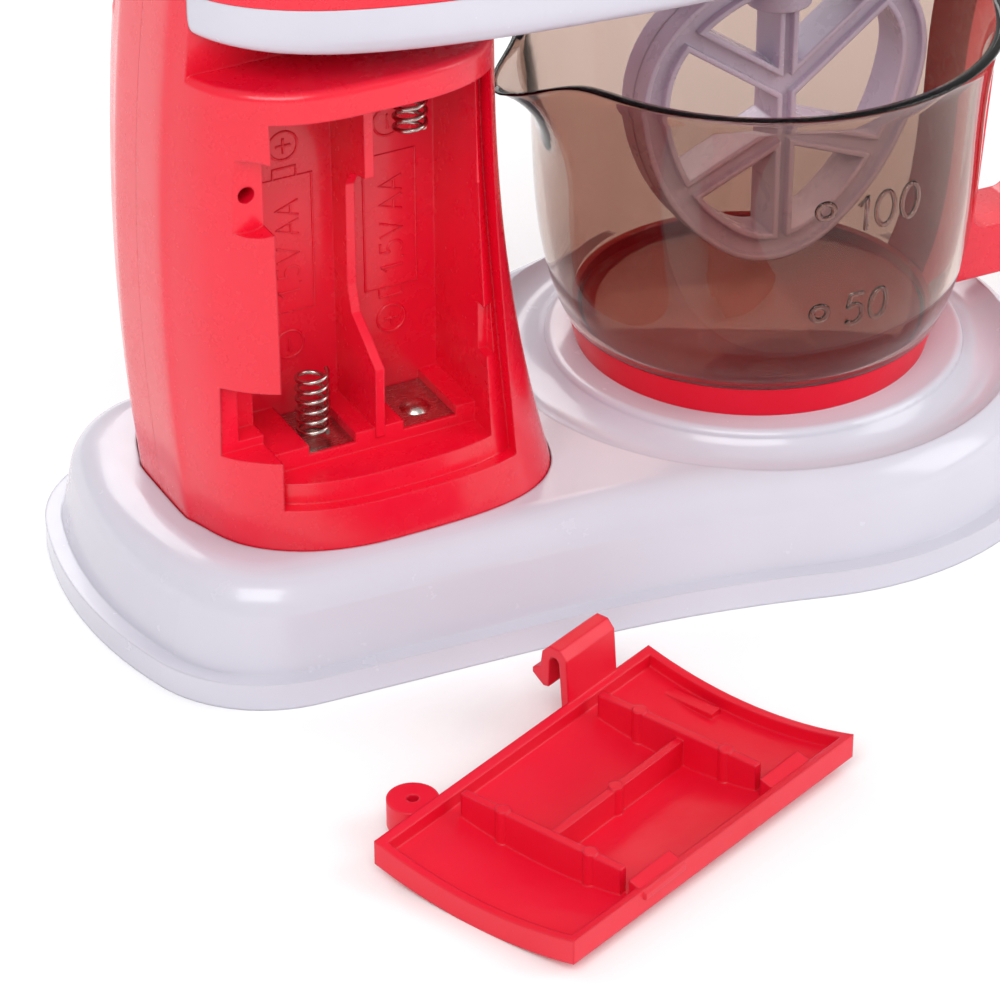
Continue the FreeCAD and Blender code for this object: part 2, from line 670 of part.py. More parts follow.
def make_column():
    foot = number(SOCKET_FLOOR)
    top = number("shelf_height")

    def half_forms(label, side):
        """Outer and inner form of one half, each with its half of the neck."""
        return (form(label + "_outside", column_outside(side)),
                form(label + "_inside", column_half(side, number("column_wall"))))

    pin_boss = cylinder("pin_boss", "pin_radius + 2.5", "2 * neck_half_width", HINGE_X, "-neck_half_width",
                        "hinge_height", "y")
    pin_hole = cylinder("pin_hole", "pin_radius", "4 * neck_half_width", HINGE_X, "-2 * neck_half_width",
                        "hinge_height", "y")
    wire_way = cylinder("column_wire_way", "5", "3 * base_wall", "-column_centre", "0", SOCKET_FLOOR)
    foot_bosses = [cylinder(f"foot_boss_{i}", "boss_radius", "screw_length + 1", x, y, SOCKET_FLOOR)
                   for i, (x, y) in enumerate(FOOT_SCREWS)]
    foot_pilots = [cylinder(f"foot_pilot_{i}", "screw_radius", "screw_length - base_wall", x, y,
                            SOCKET_FLOOR)
                   for i, (x, y) in enumerate(FOOT_SCREWS)]

    # far half: plain shell with four deep screw wells
    wells = [cylinder(f"well_{i}", "screw_head_radius + screw_gap + 1.6", "2 * column_half_width", x, "0", z,
                      "y")
             for i, (x, z) in enumerate(COLUMN_SCREWS)]
    bores = [cylinder(f"well_bore_{i}", "screw_head_radius + screw_gap", "2 * column_half_width", x,
                      WELL_FLOOR, z,
                      "y") for i, (x, z) in enumerate(COLUMN_SCREWS)]
    ways = [cylinder(f"well_way_{i}", "screw_radius + screw_gap", f"{WELL_FLOOR} + 1", x, "0", z, "y")
            for i, (x, z) in enumerate(COLUMN_SCREWS)]
    far_outside, far_inside = half_forms("far", 1)
    far = carve("far_made", far_outside, far_inside, [pin_boss, *wells, *foot_bosses],
                pin_hole, wire_way, *bores, *ways, *foot_pilots)
    piece(far, "column_far_shell")

    # near half: the battery bay is moulded into it
    beyond = "2 * column_half_width"
    seat_right = "(-bay_left + cover_bottom_width + 1.6)"
    backing = "(-cell_depth - 5)"
    block = box("bay_block", ("-bay_left - bay_wall", "-bay_right + bay_wall"),
                (f"-{beyond}", f"{BAY_BACK} + bay_wall"),
                ("bay_floor - bay_wall", "shelf_height - column_wall"))
    right_backing = box("right_backing", ("-bay_right", seat_right), (f"-{beyond}", backing),
                        ("cover_bottom - bay_wall", "shelf_height - column_wall"))
    low_backing = box("low_backing", ("-bay_left - bay_wall", seat_right), (f"-{beyond}", backing),
                      ("cover_bottom - bay_wall", "bay_floor"))
    ear_cup = cylinder("ear_cup", "ear_radius + 4", f"{beyond} - 18.8", EAR_X, f"-{beyond}", "ear_height",
                       "y")
    ear_boss = cylinder("ear_boss", "boss_radius", "12", EAR_X, "-20", "ear_height", "y")
    hook_low = "(hook_height - hook_width / 2)"
    hook_high = "(hook_height + hook_width / 2)"
    hook_block = box("hook_block", ("-bay_left - hook_reach - bay_wall", "-bay_left"),
                     (f"-{beyond}", "-cell_depth + 2"),
                     (f"{hook_low} - bay_wall", f"{hook_high} + bay_wall"))
    near_posts = [cylinder(f"near_post_{i}", "boss_radius", "8", x, f"{BAY_BACK} - 1", z, "y")
                  for i, (x, z) in enumerate(COLUMN_SCREWS)]
    near_pilots = [cylinder(f"near_pilot_{i}", "screw_radius", "screw_length", x,
                            f"{WELL_FLOOR} - screw_length", z,
                            "y") for i, (x, z) in enumerate(COLUMN_SCREWS)]
    left = -number("bay_left")
    right_top = left + number("cover_top_width")
    right_bottom = left + number("cover_bottom_width")
    opening = prism([(left, number("cover_bottom")), (right_bottom, number("cover_bottom")),
                     (right_top, number("cover_top")), (left, number("cover_top"))], number(beyond), "xz",
                    -number(beyond))
    cover_seat = form("cover_seat", opening.cut(column_form(foot, top, number("seat_step"), -1)))
    pocket = box("bay_pocket", ("-bay_left", "-bay_right"), (f"-{beyond}", BAY_BACK),
                 ("bay_floor", "bay_roof"))
    ear_seat = cylinder("ear_seat", "ear_radius + 2.2", f"{beyond} - 20.6", EAR_X, f"-{beyond}",
                        "ear_height", "y")
    ear_hole = cylinder("ear_hole", "ear_hole_radius", "11", EAR_X, "-21", "ear_height", "y")
    hook_seat = box("hook_seat", ("-bay_left - hook_reach", "-bay_left + 1"), (f"-{beyond}", "-17.5"),
                    (hook_low, hook_high))
    hook_pocket = box("hook_pocket", ("-bay_left - hook_reach + 3", "-bay_left + 1"), (f"-{beyond}", "-14"),
                      (f"{hook_low} + 1.5", f"{hook_high} - 2"))
    slots = [box(f"tab_slot_{i}", ("-bay_right - 1", "-bay_right + 1.6"), ("-23.4", "-20.4"),
                 (f"{z} - 4", f"{z} + 4"))
             for i, z in enumerate(("(cover_bottom + 20.5)", "(cover_top - 15)"))]
    near_outside, near_inside = half_forms("near", -1)
    opened = carve("near_opened", near_outside, near_inside,
                   [pin_boss, block, right_backing, low_backing, ear_cup, ear_boss, hook_block, *near_posts,
                    *foot_bosses], cover_seat, pocket, ear_seat, hook_seat, hook_pocket, *slots)
    # what stands inside the bay: contact ledges, the divider and its foot
    profile = [(BAY_BACK, "plate_level"), ("-19.5", "plate_level"), ("-19.8", "plate_level + 11.8"),
               ("-16", "plate_level + 14.8"), ("-12", "plate_level + 17.8"), ("-10.8", "plate_level + 21.8"),
               ("-11", "bay_roof - 19.2"), ("-13", "bay_roof - 16.2"), ("-17.7", "bay_roof - 15.2"),
               ("-17.7", "bay_roof"), (BAY_BACK, "bay_roof")]
    fin = form("divider_fin", prism([(number(y), number(z)) for y, z in profile],
                                    number("divider_thickness"), "yz",
                                    -number("cell_centre + divider_thickness / 2")))
    ledge_top = "(plate_level + contact_thickness + 1.2)"
    ledges = [box(f"ledge_{i}", xs, ("-19.2", f"{BAY_BACK} + 0.5"), ("plate_level", ledge_top))
              for i, xs in enumerate((("-bay_left - 0.5", "-bay_left + 6.6"),
                                      ("-cell_centre - 4", "-cell_centre + 4"),
                                      ("-bay_right - 3.2", "-bay_right + 0.5")))]
    bed = box("contact_bed", ("-bay_left - 0.5", "-bay_right + 0.5"), ("-19.2", f"{BAY_BACK} + 0.5"),
              ("bay_floor - 0.5", "plate_level - contact_thickness"))
    plate_gap = box("contact_slot", ("-bay_left + 1", "-bay_right - 1"), ("-18.6", BAY_BACK),
                    ("plate_level - contact_thickness", "plate_level"))
    sill = box("contact_sill", ("-bay_left - 0.5", "-bay_right + 0.5"), ("-19.2", "-18.6"),
               ("bay_floor - 0.5", "plate_level"))
    furnished = join("near_furnished", opened, fin, bed, sill, *ledges)
    piece(cut("near_made", furnished, plate_gap, pin_hole, wire_way, ear_hole, *near_pilots, *foot_pilots),
          "column_near_shell")

    piece(group("column_screw_set", [screw(f"column_screw_{i}", x, WELL_FLOOR, z, "y", flip=True)
                                     for i, (x, z) in enumerate(COLUMN_SCREWS)]), "column_screws")

    shaft_half = "(neck_half_width + slot_gap + cheek_thickness + 0.4)"
    pin = cylinder("pin_shaft", "pin_radius", f"2 * {shaft_half} + 1.2", HINGE_X, f"-{shaft_half}",
                   "hinge_height", "y")
    pin_head = cylinder("pin_head", "pin_head_radius", "1.6", HINGE_X, f"-{shaft_half} - 1.6",
                        "hinge_height", "y")
    piece(join("pin_made", pin, pin_head), "hinge_pin")
    clip = cylinder("clip_disc", "pin_head_radius", "0.8", HINGE_X, shaft_half, "hinge_height", "y")
    clip_bore = cylinder("clip_bore", "pin_radius", "0.8", HINGE_X, shaft_half, "hinge_height", "y")
    piece(cut("clip_made", clip, clip_bore), "hinge_clip")


# ---------------------------------------------------------------- battery contacts

def coil(radius, wire):
    """Round wire wound into a battery spring about Z from z = 0."""
    pitch = number("spring_pitch")
    path = Part.makeHelix(pitch, number("spring_height"), radius)
    start = path.Vertexes[0].Point
    ring = Part.Wire(Part.makeCircle(wire, start, Vector(0, 1, pitch / (2 * math.pi * radius))))
    return Part.Wire(path).makePipeShell([ring], True, True)


def make_contacts():
    thick = "contact_thickness"
    gap = "0.15"
    strip = box("bridge_strip", (f"-bay_left + 1 + {gap}", f"-bay_right - 1 - {gap}"),
                ("-18.6", f"{BAY_BACK} - {gap}"), (f"plate_level - {thick}", "plate_level"))
    dome = doc.addObject("Part::Sphere", "bridge_dome")
    bind(dome, "Radius", "3")
    bind(dome, "Placement.Base.x", CELL_RIGHT)
    bind(dome, "Placement.Base.y", "-cell_depth")
    bind(dome, "Placement.Base.z", "plate_level + 1.2 - 3")
    above = box("bridge_above", ("-bay_left", "-bay_right"), ("-25", "0"),
                (f"plate_level - {thick}", "plate_level + 3"))
    piece(join("bridge_made", strip, common("bridge_cap", dome, above)), "bridge_contact")

    spring = number("spring_radius - wire_radius")
    wire = number("wire_radius")
    lower = form("lower_coil", coil(spring, wire))
    bind(lower, "Placement.Base.x", CELL_LEFT)
    bind(lower, "Placement.Base.y", "-cell_depth")
    bind(lower, "Placement.Base.z", "plate_level + wire_radius")
    piece(lower, "contact_spring_lower")

    # the two upper contacts hang under the bay's roof
    under = f"(bay_roof - {thick})"
    leaves = [box(f"leaf_{i}", (f"{x} - 5", f"{x} + 5"), ("-18.6", f"{BAY_BACK} - {gap}"),
                  (under, "bay_roof"))
              for i, x in enumerate((CELL_LEFT, CELL_RIGHT))]
    nib = cylinder("nib", "2", "nib_height", CELL_LEFT, "-cell_depth", f"{under} - nib_height")
    piece(join("terminal_made", leaves[0], nib), "terminal_plus")
    piece(leaves[1], "terminal_minus")
    upper = form("upper_coil", coil(spring, wire))
    bind(upper, "Placement.Base.x", CELL_RIGHT)
    bind(upper, "Placement.Base.y", "-cell_depth")
    bind(upper, "Placement.Base.z", f"{under} - wire_radius - spring_height")
    piece(upper, "contact_spring_upper")


# ---------------------------------------------------------------- head

def head_oval(x, inset):
    """Upright cross-section of the head at one station along X."""
    widest = number("head_widest")
    if x < widest:
        span = widest + number("head_rear") - inset
        far = (widest - x) / span
        width = number("head_half_width") - number("head_taper") * far
        rise = number("head_rise") - number("head_rear_drop") * far ** 2
        width_power, rise_power = 3.2, 3.2
    else:
        span = number("head_nose") - widest - inset
        far = (x - widest) / span
        width = number("head_half_width")
        rise = number("head_rise")
        width_power, rise_power = 2.4, 2.2
    close_width = (1 - far ** width_power) ** (1 / width_power)
    close_rise = (1 - far ** rise_power) ** (1 / rise_power)
    squareness = number("tray_squareness")
    close_sink = (1 - far ** squareness) ** (1 / squareness)
    middle = number("head_middle")
    angles = [2 * math.pi * step / OVAL_STEPS for step in range(OVAL_STEPS)]
    points = oval_points((width - inset) * close_width, (number("head_sink") - inset) * close_sink,
                         (rise - inset) * close_rise, squareness, 2.3, angles)
    return closed_curve([Vector(x, u, middle + v) for u, v in points])


def head_form(inset=0.0):
    """Bullet-shaped head, blunt at the hinge end and round at the nose."""
    widest = number("head_widest")
    rear = -number("head_rear") + inset
    nose = number("head_nose") - inset
    turns = (86, 76, 62, 44, 22)
    stations = [widest + (rear - widest) * math.sin(math.radians(turn)) for turn in turns]
    stations.append(widest)
    stations += [widest + (nose - widest) * math.sin(math.radians(turn)) for turn in reversed(turns)]
    sections = [Part.Vertex(Vector(rear, 0, number("head_middle")))]
    sections += [head_oval(x, inset) for x in stations]
    sections.append(Part.Vertex(Vector(nose, 0, number("head_middle"))))
    return Part.makeLoft(sections, True, False)


HEAD_SCREWS = [("-28", "-27"), ("-28", "27"), ("58", "-16"), ("58", "16")]
DIAL_X = f"({SEAT_X} - dial_station)"


def make_head():
    outer = form("head_outer", head_form())
    inner = form("head_inner", head_form(number("head_wall")))
    width = "(neck_half_width + slot_gap)"
    slot_block = box("slot_block", ("-base_length", f"{HINGE_X} + knuckle_radius + 1.5"),
                     (f"-{width}", width), ("0", SLOT_TOP))
    slot_drum = cylinder("slot_drum", "knuckle_radius + slot_gap", f"2 * {width}", HINGE_X, f"-{width}",
                         "hinge_height", "y")
    below = box("below_seam", ("-base_length", "base_length"), ("-base_length", "base_length"),
                ("0", "seam_height"))
    above = box("above_seam", ("-base_length", "base_length"), ("-base_length", "base_length"),
                ("seam_height", "3 * shelf_height"))

    # lower tray with hinge cheeks and screw towers
    floor = "(head_middle - head_sink)"
    tray = cut("tray_shell", common("tray_outer", outer, below), inner)

    outside = f"({width} + cheek_thickness)"
    cheek_x = (f"{HINGE_X} - cheek_radius", f"{HINGE_X} + knuckle_radius + 1.5")
    cheeks = [box("cheek_front", (cheek_x[1], f"{cheek_x[1]} + 2"), (f"-{outside}", outside),
                  (f"{floor} + 1", "hinge_height + 2"))]
    for side, low in (("near", f"-{outside}"), ("far", width)):
        cheeks.append(box(f"cheek_{side}", cheek_x, (low, f"{low} + cheek_thickness"),
                          (f"{floor} + 1", "hinge_height")))
        cheeks.append(cylinder(f"cheek_round_{side}", "cheek_radius", "cheek_thickness", HINGE_X, low,
                               "hinge_height",
                               "y"))
    towers = [cylinder(f"tower_{i}", "boss_radius", f"seam_height - {floor} - 1", x, y, f"{floor} + 1")
              for i, (x, y) in enumerate(HEAD_SCREWS)]
    posts = [cylinder(f"gear_post_{i}", "boss_radius - 0.9", f"{GEARBOX_FLOOR} - {floor} - 1", x, y,
                      f"{floor} + 1")
             for i, (x, y) in enumerate(GEARBOX_SCREWS)]
    bush_tube = cylinder("bush_tube", "spindle_radius + 4.5", "5", BEATER_X, "0", f"{floor} + 0.2")
    pin_bore = cylinder("cheek_bore", "pin_radius + running_gap", "60", HINGE_X, "-30", "hinge_height", "y")
    bush_bore = cylinder("bush_seat", "spindle_radius + 2", "30", BEATER_X, "0", "shelf_height")
    sinks = [cylinder(f"head_sink_{i}", "screw_head_radius + screw_gap", "screw_head_height + 0.4", x, y,
                      floor)
             for i, (x, y) in enumerate(HEAD_SCREWS)]
    ways = [cylinder(f"head_way_{i}", "screw_radius + screw_gap", "20", x, y, floor)
            for i, (x, y) in enumerate(HEAD_SCREWS)]
    post_holes = [cylinder(f"post_pilot_{i}", "screw_radius", "7", x, y, f"{GEARBOX_FLOOR} - 7")
                  for i, (x, y) in enumerate(GEARBOX_SCREWS)]
    built = join("tray_built", tray, bush_tube, *cheeks, *towers, *posts)
    piece(cut("tray_made", built, slot_block, slot_drum, pin_bore, bush_bore, *sinks, *ways, *post_holes),
          "head_trim")

    # upper shell with screw bosses and the dial's hole
    bosses = [cylinder(f"head_boss_{i}", "boss_radius", "40", x, y, "seam_height")
              for i, (x, y) in enumerate(HEAD_SCREWS)]
    pilots = [cylinder(f"head_pilot_{i}", "screw_radius", "screw_length", x, y, "seam_height")
              for i, (x, y) in enumerate(HEAD_SCREWS)]
    dial_pad = cylinder("dial_pad", "dial_radius + 2", f"60 + {DIAL_FACE} + 2.5", DIAL_X, "-60",
                        "dial_height", "y")
    dial_recess = cylinder("dial_recess", "dial_radius + 0.5", f"60 + {DIAL_FACE}", DIAL_X, "-60",
                           "dial_height", "y")
    dial_bore = cylinder("dial_bore", "axle_radius + 1.3 + running_gap", "60", DIAL_X, "-60", "dial_height",
                         "y")
    cap = carve("cap_made", common("cap_outer", outer, above), inner, [dial_pad, *bosses], slot_block,
                slot_drum,
                dial_recess, dial_bore, *pilots)
    piece(cap, "head_top_shell")
    piece(group("head_screw_set", [screw(f"head_screw_{i}", x, y,
                                         "head_middle - head_sink + screw_head_height + 0.4")
                                   for i, (x, y) in enumerate(HEAD_SCREWS)]), "head_screws")

    # speed dial and the switch behind it
    knob = cylinder("dial_disc", "dial_radius", "dial_thickness", DIAL_X,
                    f"{DIAL_FACE} - 0.3 - dial_thickness",
                    "dial_height", "y")
    grip = box("dial_grip", (f"{DIAL_X} - 1.6", f"{DIAL_X} + 1.6"),
               (f"{DIAL_FACE} - 0.3 - dial_thickness - 2.4", f"{DIAL_FACE} - 0.3 - dial_thickness"),
               ("dial_height - dial_radius + 0.8", "dial_height + dial_radius - 0.8"))
    stem = cylinder("dial_stem", "axle_radius + 1.3", "9.3", DIAL_X, f"{DIAL_FACE} - 0.3", "dial_height",
                    "y")
    piece(join("dial_made", knob, grip, stem), "speed_dial")
    switch = box("switch_block", (f"{DIAL_X} - 7", f"{DIAL_X} + 7"),
                 (f"{DIAL_FACE} + 4.5", f"{DIAL_FACE} + 10.5"),
                 ("dial_height - 6", "dial_height + 6"))
    piece(cut("switch_made", switch, dial_bore), "switch_body")


# ---------------------------------------------------------------- gear drive

GEARBOX_SCREWS = [(f"({SEAT_X} + 14)", f"{sign} * 15") for sign in (-1, 1)] + [
    (f"({SEAT_X} - 44)", f"{sign} * 11") for sign in (-1, 1)]


def gear_face(teeth, backlash, turn):
    """Outline of a spur gear about the origin; turn is the angle of one tooth's middle."""
    module = number("gear_module")
    pitch = module * teeth / 2
    ground = pitch * math.cos(math.radians(20))
    tip = pitch + 0.85 * module
    root = pitch - 1.1 * module

    def roll(radius):
        angle = math.acos(min(1.0, ground / radius))
        return math.tan(angle) - angle

    half_tooth = math.pi / (2 * teeth) - backlash / (2 * pitch)
    flank = [(root, half_tooth + roll(pitch) - roll(max(root, ground)))]
    low = max(root + 0.05 * module, ground)
    for share in (0.0, 0.5, 1.0):
        radius = low + (tip - low) * share
        flank.append((radius, half_tooth + roll(pitch) - roll(radius)))
    points = []
    for tooth in range(int(teeth)):
        middle = turn + 2 * math.pi * tooth / teeth
        for radius, angle in flank:
            points.append(Vector(radius * math.cos(middle - angle), radius * math.sin(middle - angle), 0))
        for radius, angle in reversed(flank):
            points.append(Vector(radius * math.cos(middle + angle), radius * math.sin(middle + angle), 0))
    return Part.Face(Part.makePolygon(points + points[:1]))


def gear(name, teeth, x, z, turn=0.0):
    blank = form(name, gear_face(number(teeth), number("gear_backlash"), turn).extrude(
        Vector(0, 0, number("gear_width"))))
    bind(blank, "Placement.Base.x", x)
    bind(blank, "Placement.Base.z", z)
    return blank


def make_drive():
    gap_turn = math.pi / number("small_teeth")

    # frame plates
    floor, roof = [box(name, (f"{SEAT_X} - 48", f"{SEAT_X} + 18"),
                       ("-gearbox_half_width", "gearbox_half_width"),
                       (level, f"{level} + frame_thickness"))
                   for name, level in (("gearbox_floor", GEARBOX_FLOOR), ("gearbox_roof", GEARBOX_ROOF))]
    pillars = [cylinder(f"pillar_{i}", "2.6", f"{GEARBOX_ROOF} - {GEARBOX_FLOOR} - 1", x, y,
                        f"{GEARBOX_FLOOR} + 1")
               for i, (x, y) in enumerate(GEARBOX_SCREWS)]
    spindle_way = cylinder("spindle_way", "spindle_radius + running_gap", "60", BEATER_X, "0",
                           "shelf_height")
    tip_way = cylinder("tip_way", "spindle_radius - 0.6 + running_gap", "60", BEATER_X, "0", "shelf_height")
    axle_way = cylinder("axle_way", "axle_radius", "60", IDLER_X, "0", "shelf_height")
    collar_way = cylinder("collar_way", "3.2", "60", MOTOR_X, "0", "shelf_height")
    screw_ways = [cylinder(f"gear_way_{i}", "screw_radius + screw_gap", "60", x, y, "shelf_height")
                  for i, (x, y) in enumerate(GEARBOX_SCREWS)]
    frame = join("frame_solid", floor, *pillars)
    piece(cut("frame_made", frame, spindle_way, axle_way, *screw_ways), "gearbox_frame")
    piece(cut("gearbox_roof_made", roof, tip_way, axle_way, collar_way, *screw_ways), "gearbox_cover")
    reach = f"({GEARBOX_ROOF} + frame_thickness - {GEARBOX_FLOOR} + 6)"
    set_of = []
    for i, (x, y) in enumerate(GEARBOX_SCREWS):
        shank = cylinder(f"gear_screw_shank_{i}", "screw_radius", reach, x, y,
                         f"{GEARBOX_ROOF} + frame_thickness - {reach}")
        head = cylinder(f"gear_screw_head_{i}", "screw_head_radius", "screw_head_height", x, y,
                        f"{GEARBOX_ROOF} + frame_thickness")
        set_of.append(join(f"gear_screw_{i}", shank, head))
    piece(group("gear_screw_set", set_of), "gearbox_screws")

    # output: wheel, spindle and bush
    wheel = gear("output_wheel", "large_teeth", BEATER_X, "gear_level")
    wheel_bore = cylinder("output_bore", "spindle_radius", "20", BEATER_X, "0", "gear_level - 1")
    piece(cut("output_made", wheel, wheel_bore), "output_gear")
    shaft = cylinder("spindle_shaft", "spindle_radius", f"gear_level + gear_width - {SPINDLE_LOW}", BEATER_X,
                     "0",
                     SPINDLE_LOW)
    shaft_tip = cylinder("spindle_tip", "spindle_radius - 0.6",
                         f"{GEARBOX_ROOF} + frame_thickness - gear_level - gear_width",
                         BEATER_X, "0", "gear_level + gear_width")
    piece(join("spindle_made", shaft, shaft_tip), "spindle")
    bush_flange = cylinder("bush_flange", "spindle_radius + 4", "1.5", BEATER_X, "0",
                           "head_middle - head_sink - 1.5")
    bush_body = cylinder("bush_body", "spindle_radius + 2", "6.5", BEATER_X, "0",
                         "head_middle - head_sink - 1.5")
    bush_hole = cylinder("bush_hole", "spindle_radius + running_gap", "12", BEATER_X, "0",
                         "head_middle - head_sink - 3")
    piece(cut("bush_made", join("bush_solid", bush_flange, bush_body), bush_hole), "spindle_bush")

    # idler: large wheel over a small one, on a fixed axle
    small = gear("idler_small", "small_teeth", IDLER_X, "gear_level", gap_turn)
    large = gear("idler_large", "large_teeth", IDLER_X, UPPER_GEAR_LEVEL)
    web = cylinder("idler_web", "gear_module * small_teeth / 2 - 1", "gear_width + 1", IDLER_X, "0",
                   "gear_level + 0.5")
    idler_bore = cylinder("idler_bore", "axle_radius + running_gap", "40", IDLER_X, "0", "shelf_height")
    piece(cut("idler_made", join("idler_solid", small, large, web), idler_bore), "idler_gear")
    piece(cylinder("axle_made", "axle_radius", f"{GEARBOX_ROOF} + frame_thickness - {GEARBOX_FLOOR}",
                   IDLER_X, "0", GEARBOX_FLOOR),
          "idler_axle")

    # motor above the roof plate, its pinion below it
    pinion = gear("pinion_blank", "small_teeth", MOTOR_X, UPPER_GEAR_LEVEL, gap_turn)
    pinion_bore = cylinder("pinion_bore", "axle_radius - 0.2", "20", MOTOR_X, "0", f"{UPPER_GEAR_LEVEL} - 1")
    piece(cut("pinion_made", pinion, pinion_bore), "motor_pinion")
    motor_low = f"({GEARBOX_ROOF} + frame_thickness)"
    piece(cylinder("motor_shaft_made", "axle_radius - 0.2",
                   f"motor_height + {motor_low} - {UPPER_GEAR_LEVEL} - 2",
                   MOTOR_X, "0", UPPER_GEAR_LEVEL), "motor_shaft")
    can = cylinder("can_round", "motor_radius", "motor_height", MOTOR_X, "0", motor_low)
    flats = box("can_flats", (f"{MOTOR_X} - 20", f"{MOTOR_X} + 20"), ("-motor_half_flat", "motor_half_flat"),
                (motor_low, f"{motor_low} + motor_height"))
    can_hole = cylinder("can_hole", "axle_radius - 0.2 + running_gap", "motor_height - 1.5", MOTOR_X, "0",
                        motor_low)
    piece(cut("can_made", common("can_shape", can, flats), can_hole), "motor_can")


# ---------------------------------------------------------------- beater

def egg_face(low):
    """Upright egg-shaped face from tangent arcs; the last arc closes it on the middle line."""
    radii = [number("beater_keel_radius"), number("beater_side_radius"), number("beater_shoulder_radius")]
    turns = [0.0] + [math.radians(number(name)) for name in ("beater_keel_turn", "beater_side_turn",
                                                             "beater_shoulder_turn")]
    reach = sum(radius * (math.sin(turns[i + 1]) - math.sin(turns[i])) for i, radius in enumerate(radii))
    radii.append(reach / math.sin(turns[-1]))
    turns.append(math.pi)
    x, z = 0.0, low
    right, left = [], []
    for radius, first, last in zip(radii, turns[:-1], turns[1:]):
        arc = [(x + radius * (math.sin(turn) - math.sin(first)),
                z + radius * (math.cos(first) - math.cos(turn)))
               for turn in (first, (first + last) / 2, last)]
        right.append(Part.Arc(*[Vector(px, 0, pz) for px, pz in arc]).toShape())
        left.append(Part.Arc(*[Vector(-px, 0, pz) for px, pz in reversed(arc)]).toShape())
        x, z = arc[-1]
    return Part.Face(Part.Wire(right + left[::-1])), z


def beater_shape():
    """Flat beater in its own plane: egg-shaped ring, middle bar, and two pairs of slanting spokes."""
    low = number("beater_bottom")
    thick = number("beater_thickness")
    band = number("beater_band")
    plate, high = egg_face(low)
    height = high - low
    half_width = plate.BoundBox.XMax
    upper_hub = low + 0.575 * height
    lower_hub = low + 0.44 * height
    arm = half_width - band / 2

    def bar(x0, z0, x1, z1, width):
        along = Vector(x1 - x0, 0, z1 - z0).normalize()
        side_step = Vector(-along.z, 0, along.x) * (width / 2)
        first, last = Vector(x0, 0, z0), Vector(x1, 0, z1)
        corners = [first + side_step, last + side_step, last - side_step, first - side_step]
        return Part.Face(Part.makePolygon(corners + corners[:1]))

    def web(inset, start, depth):
        """The ring and bars, drawn inset from their edges, as a slab that starts at y = start."""
        rim = plate.makeOffset2D(-inset) if inset else plate
        hole = plate.makeOffset2D(-(band - inset))
        slab = Vector(0, depth, 0)
        solid = rim.extrude(slab).cut(hole.extrude(slab))
        bars = [bar(0, low + 1, 0, high - 1, 0.74 * band - 2 * inset)]
        for sign in (-1, 1):
            bars.append(bar(0, upper_hub, sign * 0.82 * arm, upper_hub + 0.58 * arm, 0.9 * band - 2 * inset))
            bars.append(bar(0, lower_hub, sign * 0.93 * arm, lower_hub - 0.38 * arm, 0.9 * band - 2 * inset))
        inside = rim.extrude(slab)
        solid = solid.fuse([b.extrude(slab).common(inside) for b in bars]).removeSplitter()
        solid.translate(Vector(0, start, 0))
        return solid

    depth = number("channel_depth")
    rim = number("channel_rim")
    solid = web(0.0, -thick / 2, thick)
    return solid.cut([web(rim, -thick / 2 - 1, depth + 1), web(rim, thick / 2 - depth, depth + 1)])


def make_beater():
    web = form("beater_web", beater_shape())
    bind(web, "Placement.Base.x", BEATER_X)
    hub = cylinder("beater_hub", "hub_radius", f"{HUB_TOP} - {HUB_LOW}", BEATER_X, "0", HUB_LOW)
    socket = cylinder("beater_socket", "spindle_radius", "30", BEATER_X, "0", SPINDLE_LOW)
    piece(cut("beater_made", join("beater_solid", web, hub), socket), "beater")


# ---------------------------------------------------------------- jug

def jug_form(inset, low, low_radius):
    """Solid of revolution inside the jug's wall surface, from its low end up to the rim."""
    marks = [(low_radius, low)] + [(number(f"jug_{mark}_radius") - inset, number(f"jug_{mark}_level"))
                                   for mark in ("low", "waist", "rim")]
    curve = Part.BSplineCurve()
    curve.interpolate([Vector(radius, 0, level) for radius, level in marks])
    top = marks[-1]
    edges = [curve.toShape(),
             Part.makeLine(Vector(top[0], 0, top[1]), Vector(0, 0, top[1])),
             Part.makeLine(Vector(0, 0, top[1]), Vector(0, 0, low)),
             Part.makeLine(Vector(0, 0, low), Vector(low_radius, 0, low))]
    return Part.Face(Part.Wire(edges)).revolve(Vector(), Vector(0, 0, 1), 360)


def jug_outer(gap=0.0):
    """Outer form of the jug above its ring."""
    return jug_form(-gap, number("ring_top_level"), number("jug_foot_radius") + gap)


def spout_form(inset):
    """Slanting cone that makes the pouring lip, towards -X."""
    reach = number("spout_reach")
    radius = number("spout_radius")
    rim = number("jug_rim_level")
    root = number("jug_waist_radius")
    top = Part.Wire(Part.makeCircle(radius - inset, Vector(-reach + radius, 0, rim + 2)))
    low = Part.Wire(Part.makeCircle(2.6 - inset, Vector(-root + 2.4, 0, rim - 24)))
    return Part.makeLoft([low, top], True, True)


